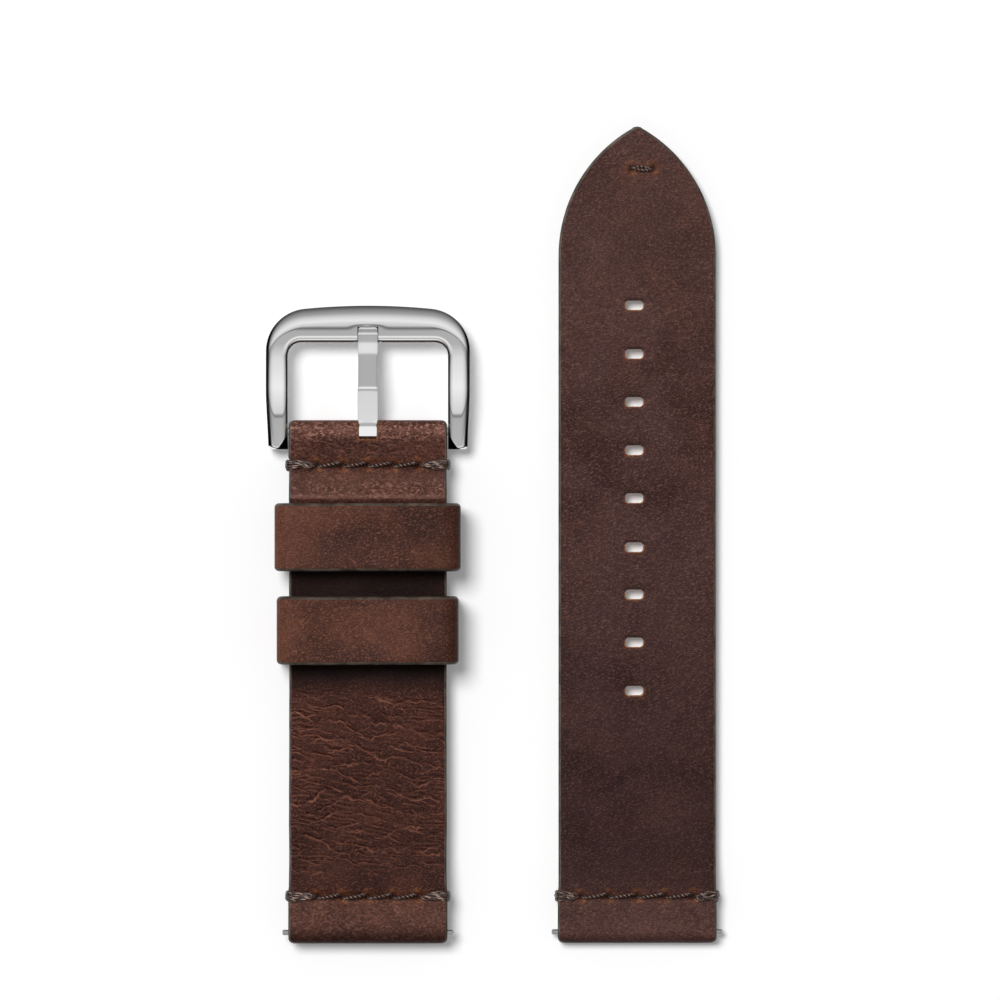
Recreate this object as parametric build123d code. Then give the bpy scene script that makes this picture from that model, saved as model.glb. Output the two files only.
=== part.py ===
# Two-piece leather watch strap with a pin buckle, its halves laid side by side on their backs.
#
# All lengths are millimetres. Z is up, the flat backs rest on z = 0. Y runs along the strap,
# from the lug ends at the bottom to the buckle and to the pointed tip at the top. X runs
# across the strap, with the short buckle half on the left and the long holed half on the right.
import os
from math import acos, cos, degrees, hypot, sin, sqrt

from build123d import *

os.makedirs("parts", exist_ok=True)

# Leather: width, lengths and layers
strap_width = 22.0
buckle_end_inset = 0.2
long_length = 113.2
short_length = 72.5
halves_distance = 37.3
lining_thickness = 1.1
front_thickness = 1.3
skived_thickness = 0.75
edge_radius = 0.3

# Leather folded round the spring bars
bar_diameter = 1.5
bar_clearance = 0.04
fold_cavity_run = 2.0
lug_flap_run = 3.0
lug_thick_run = 6.5
lug_taper_run = 5.5
buckle_thick_run = 8.6
buckle_taper_run = 1.3
narrow_run = 3.2

# Pointed tip and adjustment slots of the long half
tip_arc_radius = 20.3
tip_round_radius = 1.3
slot_count = 9
first_slot_from_tip = 24.5
slot_pitch = 6.7
slot_length = 2.6
slot_width = 1.4

# Hand stitching
thread_diameter = 0.65
thread_clearance = 0.03
thread_end_gap = 0.3
thread_bend_radius = 0.42
thread_sink = 0.22
hole_half_gap = 0.39
wrap_bite = 0.12
short_stitch_pitch = 3.5
long_stitch_pitch = 3.9
stitches_per_seam = 4
lug_seam_from_end = 6.6
buckle_seam_from_fold = 6.2
tack_length = 3.05
tack_from_tip = 5.8
tack_offset = 0.7
tack_slant = 0.35

# Keepers
keeper_length = 9.4
keeper_wall = 1.25
keeper_headroom = 3.0
keeper_under_gap = 0.1
keeper_corner_radius = 1.9
keeper_inner_corner_radius = 0.3
keeper_edge_radius = 0.4
fixed_keeper_side_gap = 0.6
fixed_keeper_from_fold = 20.9
fixed_keeper_band = 0.6
fixed_keeper_pocket_clearance = 0.05
fixed_keeper_flap_margin = 2.1
floating_keeper_side_gap = 0.3
floating_keeper_from_fold = 33.8

# Spring bars: one in each lug end and one that carries the buckle
bar_bore_diameter = 1.1
bar_crimp = 0.4
plunger_clearance = 0.03
plunger_tip_diameter = 0.8
plunger_tip_reach = 0.85
plunger_tip_chamfer = 0.12
plunger_flange_diameter = 1.3
plunger_flange = 0.55
plunger_head = 1.2
plunger_travel = 1.2
plunger_end_gap = 0.15
plunger_seat_gap = 0.02
spring_wire = 0.14
spring_diameter = 0.98
spring_turns = 16
buckle_bar_end_gap = 0.05

# Buckle frame
frame_arm_width = 3.0
frame_side_gap = 0.3
frame_window_top = 12.3
frame_top = 17.0
frame_top_bow = 0.4
frame_arm_reach = 2.5
frame_thickness = 2.4
frame_curve_radius = 28.0
frame_corner_radius = 5.9
frame_window_radius = 1.9
frame_arm_radius = 1.15
frame_arm_inner_radius = 1.4
frame_round_radius = 1.0
frame_back_radius = 0.3
pivot_clearance = 0.05
pivot_hole_depth = 1.1

# Buckle tongue
tongue_width = 2.7
tongue_thickness = 1.05
tongue_eye_wall = 0.5
tongue_eye_clearance = 0.04
tongue_edge_radius = 0.2
tongue_root_run = 1.6
tongue_bend_run = 5.9
tongue_shoulder_run = 10.7
tongue_tip_bend_run = 13.4
tongue_tip_run = 14.4
tongue_rise = 2.2
tongue_tip_thickness = 0.55
tongue_seat_clearance = 0.06
tongue_seat_depth = 0.55
tongue_side_clearance = 0.15
notch_clearance = 0.25
notch_depth = 1.05
eye_room = 0.12

# How far a cutting shape runs past what it cuts
cut_over = 1.0

bar_pieces = ("tube", "spring", "left_plunger", "right_plunger")

# Widths and places worked out from the sizes above
buckle_end_width = strap_width - 2 * buckle_end_inset
frame_window_width = buckle_end_width + 2 * frame_side_gap
frame_width = frame_window_width + 2 * frame_arm_width
fixed_keeper_width = strap_width + 2 * (fixed_keeper_side_gap + keeper_wall)
floating_keeper_width = strap_width + 2 * (floating_keeper_side_gap + keeper_wall)
bar_radius = bar_diameter / 2
fold_bore_radius = bar_radius + bar_clearance
fold_radius = fold_bore_radius + skived_thickness
strap_thickness = lining_thickness + front_thickness
short_base = keeper_wall + keeper_under_gap
bar_reach = strap_width / 2 + plunger_tip_reach
short_x = (frame_width / 2 - bar_reach - halves_distance) / 2
long_x = short_x + halves_distance
lug_y = -long_length / 2
lug_axis_y = lug_y + fold_radius
buckle_axis_y = lug_y + short_length - fold_radius
long_axis_z = fold_radius
short_axis_z = short_base + fold_radius
lug_seam_y = lug_y + lug_seam_from_end
buckle_seam_y = lug_y + short_length - buckle_seam_from_fold
fixed_keeper_y = lug_y + short_length - fixed_keeper_from_fold
floating_keeper_y = lug_y + short_length - floating_keeper_from_fold
buckle_flap_end_y = fixed_keeper_y - fixed_keeper_flap_margin
lining_start_y = lug_axis_y + lug_flap_run


def side_face(points):
    """A face in the side view, from (y, z) points."""
    return make_face(Plane.YZ * Polyline(*points, close=True))


def side_disc(y, z, radius):
    """A round face in the side view."""
    return Plane.YZ * Pos(y, z) * Circle(radius)


def across(face, width, x):
    """A side view face drawn out to both sides of x."""
    return Pos(x, 0, 0) * extrude(face, amount=width / 2, both=True)


def drop_shape(y, z, radius, run):
    """The hollow of a fold: round where the bar lies, drawn to a point where the layers meet."""
    lean = acos(radius / abs(run))
    side = 1 if run > 0 else -1
    touch_y = y + side * radius * cos(lean)
    touch_z = radius * sin(lean)
    wedge = side_face([(touch_y, z - touch_z), (y + run, z), (touch_y, z + touch_z), (y, z)])
    return side_disc(y, z, radius) + wedge


def long_outline():
    """Plan of the long half, a rectangle that ends in a pointed arch with a rounded tip."""
    half = strap_width / 2
    arc_centre = half - tip_arc_radius
    arch = sqrt((tip_arc_radius - tip_round_radius) ** 2 - arc_centre**2) + tip_round_radius
    shoulder_y = lug_y + long_length - arch
    arch_angle = degrees(acos(-arc_centre / tip_arc_radius))
    plan = Line((long_x - half, lug_y), (long_x + half, lug_y))
    plan += Line((long_x + half, lug_y), (long_x + half, shoulder_y))
    plan += CenterArc((long_x + arc_centre, shoulder_y), tip_arc_radius, 0, arch_angle)
    plan += CenterArc((long_x - arc_centre, shoulder_y), tip_arc_radius, 180 - arch_angle, arch_angle)
    plan += Line((long_x - half, shoulder_y), (long_x - half, lug_y))
    face = make_face(plan)
    return fillet(face.vertices().sort_by(Axis.Y)[-1], tip_round_radius)


def short_outline():
    """Plan of the short half, drawn in a little where it passes between the buckle's arms."""
    half = strap_width / 2
    inner = buckle_end_width / 2
    step_y = buckle_axis_y - narrow_run
    top_y = lug_y + short_length
    return make_face(
        Polyline(
            (short_x - half, lug_y),
            (short_x + half, lug_y),
            (short_x + half, step_y),
            (short_x + inner, step_y + half - inner),
            (short_x + inner, top_y),
            (short_x - inner, top_y),
            (short_x - inner, step_y + half - inner),
            (short_x - half, step_y),
            close=True,
        )
    )


def standing(face):
    """A plan outline made taller than the strap, to cut the layers to shape."""
    height = short_base + 2 * fold_radius + 2 * cut_over
    return Pos(0, 0, -cut_over) * extrude(face, amount=height)


def round_rim(solid, facing):
    """Round the worn edge where the front (facing 1) or the back (facing -1) meets the sides."""
    faces = solid.faces()
    heights = [f.center().Z for f in faces]
    middle = (max(heights) + min(heights)) / 2
    broad = [f for f in faces if f.normal_at(f.center()).Z * facing > 0.5]
    broad = [f for f in broad if (f.center().Z - middle) * facing > 0]
    walls = [f for f in faces if abs(f.normal_at(f.center()).Z) < 0.1]
    wall_edges = [edge for wall in walls for edge in wall.edges()]
    rim = [edge for face in broad for edge in face.edges() if any(edge.is_same(w) for w in wall_edges)]
    return fillet(ShapeList(rim).filter_by(lambda edge: abs(edge.tangent_at(0.5).X) < 0.99), edge_radius)


def cut_all(solid, cutters):
    """A solid with every cutter taken out of it."""
    for cutter in cutters:
        solid -= cutter
    return solid


def seam_route(centre_x, seam_y, pitch, front_z, back_z):
    """Corners of a saddle stitch: one thread goes across and comes back, and turns round both edges.

    Each hole holds the two strands one above the other. Every stitch on the front climbs to the
    right, and every stitch on the back falls to the right.
    """
    top_z = front_z + thread_diameter / 2 - thread_sink
    bottom_z = back_z + thread_diameter / 2
    first_x = centre_x - pitch * stitches_per_seam / 2
    edge = strap_width / 2 + thread_diameter / 2 - wrap_bite
    holes = [first_x + index * pitch for index in range(stitches_per_seam + 1)]

    def stitch(from_hole, to_hole, on_front):
        climbs = 1 if (to_hole > from_hole) == on_front else -1
        z = top_z if on_front else bottom_z
        return [
            (holes[from_hole], seam_y - climbs * hole_half_gap, z),
            (holes[to_hole], seam_y + climbs * hole_half_gap, z),
        ]

    def turn(last_point, edge_x):
        x, y, z = last_point
        across_y = 2 * seam_y - y
        other_z = top_z + bottom_z - z
        return [(x, y, other_z), (edge_x, y, other_z), (edge_x, across_y, z), (x, across_y, z)]

    route = []
    for index in range(stitches_per_seam):
        route += stitch(index, index + 1, index % 2 == 0)
    route += turn(route[-1], centre_x + edge)
    for index in reversed(range(stitches_per_seam)):
        route += stitch(index + 1, index, index % 2 == 1)
    route += turn(route[-1], centre_x - edge)
    return route


def tack_route():
    """Corners of the single stitch that holds the layers together at the tip."""
    top_z = strap_thickness + thread_diameter / 2 - thread_sink
    bottom_z = thread_diameter / 2
    y = lug_y + long_length - tack_from_tip
    x = long_x + tack_offset
    start = (x - tack_length / 2, y - tack_slant)
    end = (x + tack_length / 2, y + tack_slant)
    return [(*start, top_z), (*end, top_z), (*end, bottom_z), (*start, bottom_z)]


def sewn_tube(route, radius, end_gap):
    """A tube along a closed route with rounded corners, its two ends left apart on a back stitch."""
    turned = route[2:] + route[:2]
    start, end = Vector(*turned[0]), Vector(*turned[1])
    half_gap = (end - start).normalized() * (end_gap / 2)
    middle = (start + end) * 0.5
    corners = [middle + half_gap, *turned[1:], turned[0], middle - half_gap]
    path = FilletPolyline(*corners, radius=thread_bend_radius)
    return sweep(Plane(origin=path @ 0, z_dir=path % 0) * Circle(radius), path=path)


def thread(route):
    """A sewn thread and the channel that it needs in the leather."""
    radius = thread_diameter / 2
    channel = sewn_tube(route, radius + thread_clearance, thread_end_gap - 2 * thread_clearance)
    return sewn_tube(route, radius, thread_end_gap), channel


def keeper(x, low_y, width, bottom_z, bottom_wall, top_z):
    """A leather loop round the strap, seen along the strap as a rounded frame."""
    height = top_z - bottom_z
    hollow_height = height - bottom_wall - keeper_wall
    hollow_z = bottom_z + bottom_wall + hollow_height / 2
    outside = Plane.XZ * Pos(0, bottom_z + height / 2) * RectangleRounded(
        width, height, keeper_corner_radius
    )
    inside = Plane.XZ * Pos(0, hollow_z) * RectangleRounded(
        width - 2 * keeper_wall, hollow_height, keeper_inner_corner_radius
    )
    solid = extrude(outside, amount=keeper_length / 2, both=True)
    rims = solid.edges().filter_by(lambda edge: abs(edge.center().Y) > keeper_length / 4)
    rims = rims.filter_by(lambda edge: edge.center().Z > bottom_z + keeper_corner_radius)
    solid = fillet(rims, keeper_edge_radius)
    solid -= extrude(inside, amount=keeper_length, both=True)
    return Pos(x, low_y + keeper_length / 2, 0) * solid


def round_bar(radius, start_x, end_x):
    """A cylinder along X."""
    length = end_x - start_x
    return Pos((start_x + end_x) / 2, 0, 0) * Rot(Y=90) * Cylinder(radius, length)


def spring_bar(half_span, place):
    """Tube, coil spring and two plungers of a spring bar whose flanges stand half_span apart."""
    tip_radius = plunger_tip_diameter / 2
    bore_radius = bar_bore_diameter / 2
    flange_in = half_span - plunger_flange
    tube_end = flange_in - plunger_travel - plunger_end_gap
    crimp_in = tube_end - bar_crimp
    head_out = crimp_in - plunger_seat_gap
    head_in = head_out - plunger_head
    tip_out = half_span + plunger_tip_reach

    tube = round_bar(bar_radius, -tube_end, tube_end)
    tube -= round_bar(bore_radius, -crimp_in, crimp_in)
    tube -= round_bar(tip_radius + plunger_clearance, -tube_end - cut_over, tube_end + cut_over)

    right = round_bar(tip_radius, head_in, tip_out)
    tip_edge = right.edges().sort_by(Axis.X)[-1]
    right = chamfer(tip_edge, plunger_tip_chamfer)
    right += round_bar(bore_radius - plunger_clearance, head_in, head_out)
    right += round_bar(plunger_flange_diameter / 2, flange_in, half_span)
    left = mirror(right, about=Plane.YZ)

    coil_length = 2 * (head_in - plunger_seat_gap) - spring_wire
    coil_radius = (spring_diameter - spring_wire) / 2
    pitch = coil_length / spring_turns
    path = Helix(pitch=pitch, height=coil_length, radius=coil_radius)
    section = Plane(origin=path @ 0, z_dir=path % 0) * Circle(spring_wire / 2)
    wire = sweep(section, path=path, is_frenet=True)
    spring = Rot(Y=90) * Pos(0, 0, -coil_length / 2) * wire
    return [place * piece for piece in (tube, spring, left, right)]


def frame_curve_centre():
    """Centre of the bent plate, whose middle passes the pivot and whose far edge rests on z = 0."""
    back = frame_curve_radius - frame_thickness / 2
    end_y = frame_top + frame_top_bow
    span = hypot(end_y, short_axis_z)
    along = (frame_curve_radius**2 - back**2 + span**2) / (2 * span)
    below = sqrt(frame_curve_radius**2 - along**2)
    centre_y = (along * end_y - below * short_axis_z) / span
    centre_z = short_axis_z - (along * short_axis_z + below * end_y) / span
    return centre_y, centre_z


def frame_front_z(y):
    """Height of the front of the bent plate."""
    centre_y, centre_z = frame_curve_centre()
    front = frame_curve_radius + frame_thickness / 2
    return centre_z + sqrt(front**2 - (y - centre_y) ** 2)


def frame_plate():
    """The U of the frame as a flat plate with straight sides, taller than the bent one."""
    half = frame_width / 2
    window = frame_window_width / 2
    plan = Line((-half, -frame_arm_reach), (half, -frame_arm_reach))
    plan += Line((half, -frame_arm_reach), (half, frame_top))
    plan += ThreePointArc((half, frame_top), (0, frame_top + frame_top_bow), (-half, frame_top))
    plan += Line((-half, frame_top), (-half, -frame_arm_reach))
    outer = make_face(plan)
    outer = fillet(outer.vertices().group_by(Axis.Y)[-1], frame_corner_radius)
    outer = fillet(outer.vertices().group_by(Axis.Y)[0], frame_arm_radius)
    mouth_y = -frame_arm_reach - cut_over
    height = frame_window_top - mouth_y
    hole = Pos(0, mouth_y + height / 2) * Rectangle(2 * window, height)
    hole = fillet(hole.vertices().group_by(Axis.Y)[-1], frame_window_radius)
    flat = outer - hole
    inner_ends = [v for v in flat.vertices() if abs(abs(v.X) - window) < cut_over and v.Y < 0]
    flat = fillet(inner_ends, frame_arm_inner_radius)
    return extrude(flat, amount=short_axis_z + frame_thickness + cut_over)


def buckle_frame(seat_cutter):
    """Bent frame with domed front edges, a seat for the tongue and two blind pivot holes."""
    centre_y, centre_z = frame_curve_centre()
    front = frame_curve_radius + frame_thickness / 2
    back = frame_curve_radius - frame_thickness / 2
    slab = side_disc(centre_y, centre_z, front) - side_disc(centre_y, centre_z, back)
    solid = frame_plate() & across(slab, frame_width + 2 * cut_over, 0)
    skins = solid.faces().filter_by(lambda f: abs(f.normal_at(f.center()).Z) > 0.8).sort_by(Axis.Z)
    solid = fillet(skins[-1].edges(), frame_round_radius)
    skins = solid.faces().filter_by(lambda f: f.normal_at(f.center()).Z < -0.8).sort_by(Axis.Z)
    solid = fillet(skins[0].edges(), frame_back_radius)
    solid -= seat_cutter
    window = frame_window_width / 2
    pivot_radius = plunger_tip_diameter / 2 + pivot_clearance
    pivot = round_bar(pivot_radius, window - cut_over, window + pivot_hole_depth)
    for hole in (pivot, mirror(pivot, about=Plane.YZ)):
        solid -= Pos(0, 0, short_axis_z) * hole
    return solid


def tongue_side():
    """Side view of the tongue's strip, from the pivot to the tip in its seat."""
    half = tongue_thickness / 2
    high = short_axis_z + tongue_rise
    seat_z = frame_front_z(tongue_tip_bend_run) - tongue_seat_depth + tongue_seat_clearance
    tip_z = frame_front_z(tongue_tip_run) - tongue_seat_depth + tongue_seat_clearance
    return side_face(
        [
            (0, short_axis_z - half),
            (tongue_root_run, short_axis_z - half),
            (tongue_bend_run, high - half),
            (tongue_shoulder_run, seat_z),
            (tongue_tip_bend_run, seat_z),
            (tongue_tip_run, tip_z),
            (tongue_tip_run, tip_z + tongue_tip_thickness),
            (tongue_tip_bend_run, seat_z + tongue_thickness),
            (tongue_shoulder_run, seat_z + tongue_thickness),
            (tongue_bend_run, high + half),
            (tongue_root_run, short_axis_z + half),
            (0, short_axis_z + half),
        ]
    )


def buckle_tongue():
    """A bent strip with an eye round the bar."""
    eye_bore = bar_radius + tongue_eye_clearance
    strip = across(tongue_side(), tongue_width, 0)
    long_edges = [e for e in strip.edges() if abs(e.tangent_at(0.5).X) < 0.5 and e.center().Y > 0]
    strip = fillet(long_edges, tongue_edge_radius)
    eye = across(side_disc(0, short_axis_z, eye_bore + tongue_eye_wall), tongue_width, 0)
    solid = strip + eye
    return solid - across(side_disc(0, short_axis_z, eye_bore), tongue_width + cut_over, 0)


def tongue_seat():
    """What the tongue's tip takes out of the frame, with room all round."""
    room = offset(tongue_side(), amount=tongue_seat_clearance, kind=Kind.INTERSECTION)
    return across(room, tongue_width + 2 * tongue_side_clearance, 0)


def notch():
    """What the tongue's eye takes out of the folded leather."""
    width = tongue_width + 2 * notch_clearance
    eye_radius = bar_radius + tongue_eye_clearance + tongue_eye_wall + eye_room
    low_y = buckle_axis_y - notch_depth
    high_y = lug_y + short_length + cut_over
    top_z = short_base + 2 * fold_radius + cut_over
    slot = side_face([(low_y, 0), (high_y, 0), (high_y, top_z), (low_y, top_z)])
    return across(slot + side_disc(buckle_axis_y, short_axis_z, eye_radius), width, short_x)


def long_front_leather(channels):
    """Outer leather of the long half, folded round the bar at the lug end."""
    back_y = lining_start_y
    side = side_face(
        [
            (lug_axis_y, 0),
            (back_y, 0),
            (back_y, lining_thickness),
            (lug_y + long_length, lining_thickness),
            (lug_y + long_length, strap_thickness),
            (lug_axis_y + lug_thick_run + lug_taper_run, strap_thickness),
            (lug_axis_y + lug_thick_run, 2 * fold_radius),
            (lug_axis_y, 2 * fold_radius),
        ]
    )
    side += side_disc(lug_axis_y, long_axis_z, fold_radius)
    side -= drop_shape(lug_axis_y, long_axis_z, fold_bore_radius, fold_cavity_run)
    solid = round_rim(across(side, strap_width, long_x) & standing(long_outline()), 1)
    return cut_all(solid, slots() + channels)


def long_lining(channels):
    """Back leather of the long half."""
    side = side_face(
        [
            (lining_start_y, 0),
            (lug_y + long_length, 0),
            (lug_y + long_length, lining_thickness),
            (lining_start_y, lining_thickness),
        ]
    )
    solid = round_rim(across(side, strap_width, long_x) & standing(long_outline()), -1)
    return cut_all(solid, slots() + channels)


def slots():
    """The adjustment slots, cut through both layers."""
    slot = SlotOverall(slot_length, slot_width)
    first_y = lug_y + long_length - first_slot_from_tip
    places = [Pos(long_x, first_y - index * slot_pitch, -cut_over) for index in range(slot_count)]
    height = strap_thickness + 2 * cut_over
    return [place * extrude(slot, amount=height) for place in places]


def short_front_leather(channels):
    """Outer leather of the short half, folded round a bar at both ends."""
    base = short_base
    body_z = base + strap_thickness
    layer_z = base + lining_thickness
    fold_z = base + 2 * fold_radius
    side = side_face(
        [
            (lug_axis_y, base),
            (lining_start_y, base),
            (lining_start_y, layer_z),
            (buckle_flap_end_y, layer_z),
            (buckle_flap_end_y, base),
            (buckle_axis_y, base),
            (buckle_axis_y, fold_z),
            (buckle_axis_y - buckle_thick_run, fold_z),
            (buckle_axis_y - buckle_thick_run - buckle_taper_run, body_z),
            (lug_axis_y + lug_thick_run + lug_taper_run, body_z),
            (lug_axis_y + lug_thick_run, fold_z),
            (lug_axis_y, fold_z),
        ]
    )
    side += side_disc(lug_axis_y, short_axis_z, fold_radius)
    side += side_disc(buckle_axis_y, short_axis_z, fold_radius)
    side -= drop_shape(lug_axis_y, short_axis_z, fold_bore_radius, fold_cavity_run)
    side -= drop_shape(buckle_axis_y, short_axis_z, fold_bore_radius, -fold_cavity_run)
    pocket = fixed_keeper_pocket_clearance
    low_y = fixed_keeper_y - pocket
    high_y = fixed_keeper_y + keeper_length + pocket
    side -= side_face(
        [
            (low_y, layer_z - fixed_keeper_band - 2 * pocket),
            (high_y, layer_z - fixed_keeper_band - 2 * pocket),
            (high_y, layer_z),
            (low_y, layer_z),
        ]
    )
    solid = round_rim(across(side, strap_width, short_x) & standing(short_outline()), 1)
    return cut_all(solid, [notch(), *channels])


def short_lining(channels):
    """Back leather of the short half, from the lug fold to the flap that comes back from the buckle."""
    layer_z = short_base + lining_thickness
    side = side_face(
        [
            (lining_start_y, short_base),
            (buckle_flap_end_y, short_base),
            (buckle_flap_end_y, layer_z),
            (lining_start_y, layer_z),
        ]
    )
    return cut_all(round_rim(across(side, strap_width, short_x), -1), channels)


def build_parts():
    """Every piece by name, in place."""
    parts = {}
    short_fold_z = short_base + 2 * fold_radius
    short_lug_route = seam_route(short_x, lug_seam_y, short_stitch_pitch, short_fold_z, short_base)
    buckle_route = seam_route(short_x, buckle_seam_y, short_stitch_pitch, short_fold_z, short_base)
    long_lug_route = seam_route(long_x, lug_seam_y, long_stitch_pitch, 2 * fold_radius, 0)
    parts["short_lug_seam_thread"], short_lug_channel = thread(short_lug_route)
    parts["buckle_seam_thread"], buckle_channel = thread(buckle_route)
    parts["long_lug_seam_thread"], long_lug_channel = thread(long_lug_route)
    parts["tip_tack_thread"], tack_channel = thread(tack_route())

    parts["short_front_leather"] = short_front_leather([short_lug_channel, buckle_channel])
    parts["short_lining"] = short_lining([short_lug_channel])
    parts["long_front_leather"] = long_front_leather([long_lug_channel, tack_channel])
    parts["long_lining"] = long_lining([long_lug_channel, tack_channel])

    keeper_top_z = short_base + strap_thickness + keeper_headroom + keeper_wall
    band_z = short_base + lining_thickness - fixed_keeper_pocket_clearance - fixed_keeper_band
    parts["fixed_keeper"] = keeper(
        short_x, fixed_keeper_y, fixed_keeper_width, band_z, fixed_keeper_band, keeper_top_z
    )
    parts["floating_keeper"] = keeper(
        short_x, floating_keeper_y, floating_keeper_width, 0, keeper_wall, keeper_top_z
    )

    buckle_place = Pos(short_x, buckle_axis_y, 0)
    parts["buckle_frame"] = buckle_place * buckle_frame(tongue_seat())
    parts["buckle_tongue"] = buckle_place * buckle_tongue()

    lug_span = strap_width / 2
    buckle_span = frame_window_width / 2 - buckle_bar_end_gap
    bars = {
        "buckle_bar": (buckle_span, Pos(short_x, buckle_axis_y, short_axis_z)),
        "short_lug_bar": (lug_span, Pos(short_x, lug_axis_y, short_axis_z)),
        "long_lug_bar": (lug_span, Pos(long_x, lug_axis_y, long_axis_z)),
    }
    for bar_name, (half_span, place) in bars.items():
        for piece_name, piece in zip(bar_pieces, spring_bar(half_span, place)):
            parts[f"{bar_name}_{piece_name}"] = piece
    return parts


for name, shape in build_parts().items():
    export_step(shape, f"parts/{name}.step")
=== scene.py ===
"""Leather watch strap in two halves: all visible surfaces, the floor, the lamps and the camera."""
from math import acos, copysign, cos, exp, hypot, pi, radians, sin, sqrt

import bmesh
import bpy
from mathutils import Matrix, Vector, noise


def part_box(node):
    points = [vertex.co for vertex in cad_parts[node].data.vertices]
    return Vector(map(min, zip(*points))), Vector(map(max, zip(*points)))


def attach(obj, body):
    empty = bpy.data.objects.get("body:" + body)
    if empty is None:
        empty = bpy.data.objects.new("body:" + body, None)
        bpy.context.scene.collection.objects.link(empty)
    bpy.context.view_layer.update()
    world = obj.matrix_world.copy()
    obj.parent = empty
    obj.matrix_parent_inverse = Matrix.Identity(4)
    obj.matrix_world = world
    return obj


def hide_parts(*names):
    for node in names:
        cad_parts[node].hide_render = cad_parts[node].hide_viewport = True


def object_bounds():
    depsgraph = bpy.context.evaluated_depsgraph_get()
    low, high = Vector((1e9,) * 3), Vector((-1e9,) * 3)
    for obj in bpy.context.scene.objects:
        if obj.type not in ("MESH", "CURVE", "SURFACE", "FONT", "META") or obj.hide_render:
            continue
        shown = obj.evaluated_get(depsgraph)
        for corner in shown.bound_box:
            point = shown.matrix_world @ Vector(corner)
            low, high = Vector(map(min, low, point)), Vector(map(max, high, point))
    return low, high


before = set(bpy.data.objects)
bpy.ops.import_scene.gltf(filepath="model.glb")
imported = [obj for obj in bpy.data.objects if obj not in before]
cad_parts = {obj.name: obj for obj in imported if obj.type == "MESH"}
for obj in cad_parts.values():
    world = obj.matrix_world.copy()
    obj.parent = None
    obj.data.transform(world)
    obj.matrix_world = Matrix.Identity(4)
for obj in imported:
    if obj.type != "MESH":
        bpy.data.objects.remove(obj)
cad_low, cad_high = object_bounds()

# Front leather of the short half: one piece of pull-up cowhide, skived thin where it turns round the
# two spring bars. Its flap comes back below the buckle. The cut edges are painted.
mm = 0.001
lug_bar_low, lug_bar_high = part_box("short_lug_bar_tube")
buckle_bar_low, buckle_bar_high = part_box("buckle_bar_tube")
short_low, short_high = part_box("short_front_leather")
lining_low, lining_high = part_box("short_lining")
fixed_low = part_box("fixed_keeper")[0]
sliding_low, sliding_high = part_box("floating_keeper")
lug_bar = (lug_bar_low + lug_bar_high) / 2
buckle_bar = (buckle_bar_low + buckle_bar_high) / 2
short_x = lug_bar.x
fold_radius = lug_bar.y - short_low.y
strap_half = (short_high.x - short_low.x) / 2
short_base = lining_low.z
short_layer = lining_high.z
front_thickness = 1.3 * mm
short_body = short_layer + front_thickness
buckle_end_half = 10.98 * mm
narrow_y = buckle_bar.y - 3.2 * mm
narrow_run = 0.6 * mm
lug_thick_run = 6.5 * mm
lug_taper_run = 5.5 * mm
step_high_y = buckle_bar.y - 9.25 * mm
step_low_y = step_high_y - 1.6 * mm
lip_height = 0.15 * mm
lip_half = 0.34 * mm
hide_swell = 0.05 * mm
edge_radius = 0.3 * mm
glue_line_radius = 0.06 * mm
corner_radius = 0.8 * mm
paint_width = 0.34 * mm
nudge = 0.01 * mm


def smooth_step(low, high, value):
    """0 below low, 1 above high, with a soft start and end."""
    share = min(max((value - low) / (high - low), 0), 1)
    return share * share * (3 - 2 * share)


def bell(distance, width):
    """A round hump, 1 high at no distance."""
    return exp(-((distance / width) ** 2))


def half_circle(distance, radius):
    """Half the height of a round bar, seen at a distance from its axis."""
    return sqrt(max(radius * radius - distance * distance, 0))


def slab_ring(columns, under):
    """Points round the section of a flat strap: (across, out, up, level), with both rims rounded."""
    arc = [index * pi / 8 for index in (1, 2, 3, 4)]
    ring = [(2 * index / columns - 1, 0, 1, 1) for index in range(columns + 1)]
    ring += [(1, sin(angle), cos(angle), 1) for angle in arc]
    ring += [(1, 1, 0, 2 / 3), (1, 1, 0, 1 / 3)]
    ring += [(1, sin(angle), cos(angle), 0) for angle in reversed(arc)]
    ring += [(1 - 2 * index / under, 0, 1, 0) for index in range(under + 1)]
    ring += [(-1, -sin(angle), cos(angle), 0) for angle in arc]
    ring += [(-1, -1, 0, 1 / 3), (-1, -1, 0, 2 / 3)]
    ring += [(-1, -sin(angle), cos(angle), 1) for angle in reversed(arc)]
    return ring


def grid_tube(bm, around, along, place, closed=False):
    """A tube whose grid of faces is laid by place(column, row); its ends are open, or meet if closed."""
    made = bmesh.ops.create_grid(bm, x_segments=around, y_segments=along, size=1)
    for vertex in made["verts"]:
        column = round((vertex.co.x + 1) / 2 * around) % around
        row = round((vertex.co.y + 1) / 2 * along)
        vertex.co = place(column, row % along if closed else row)
    bmesh.ops.remove_doubles(bm, verts=made["verts"], dist=1e-8)


def close_ends(bm):
    """Fills the open ends of all tubes."""
    ends = [edge for edge in bm.edges if edge.is_boundary]
    bmesh.ops.holes_fill(bm, edges=ends, sides=0)


def add_object(name, data):
    """A new object in the scene."""
    made = bpy.data.objects.new(name, data)
    bpy.context.scene.collection.objects.link(made)
    return made


def store(piece, name, value_at):
    """Keeps a value for each point of a finished piece, which its material reads by name."""
    values = piece.data.attributes.new(name, "FLOAT", "POINT")
    for vertex in piece.data.vertices:
        values.data[vertex.index].value = value_at(*vertex.co)


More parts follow.
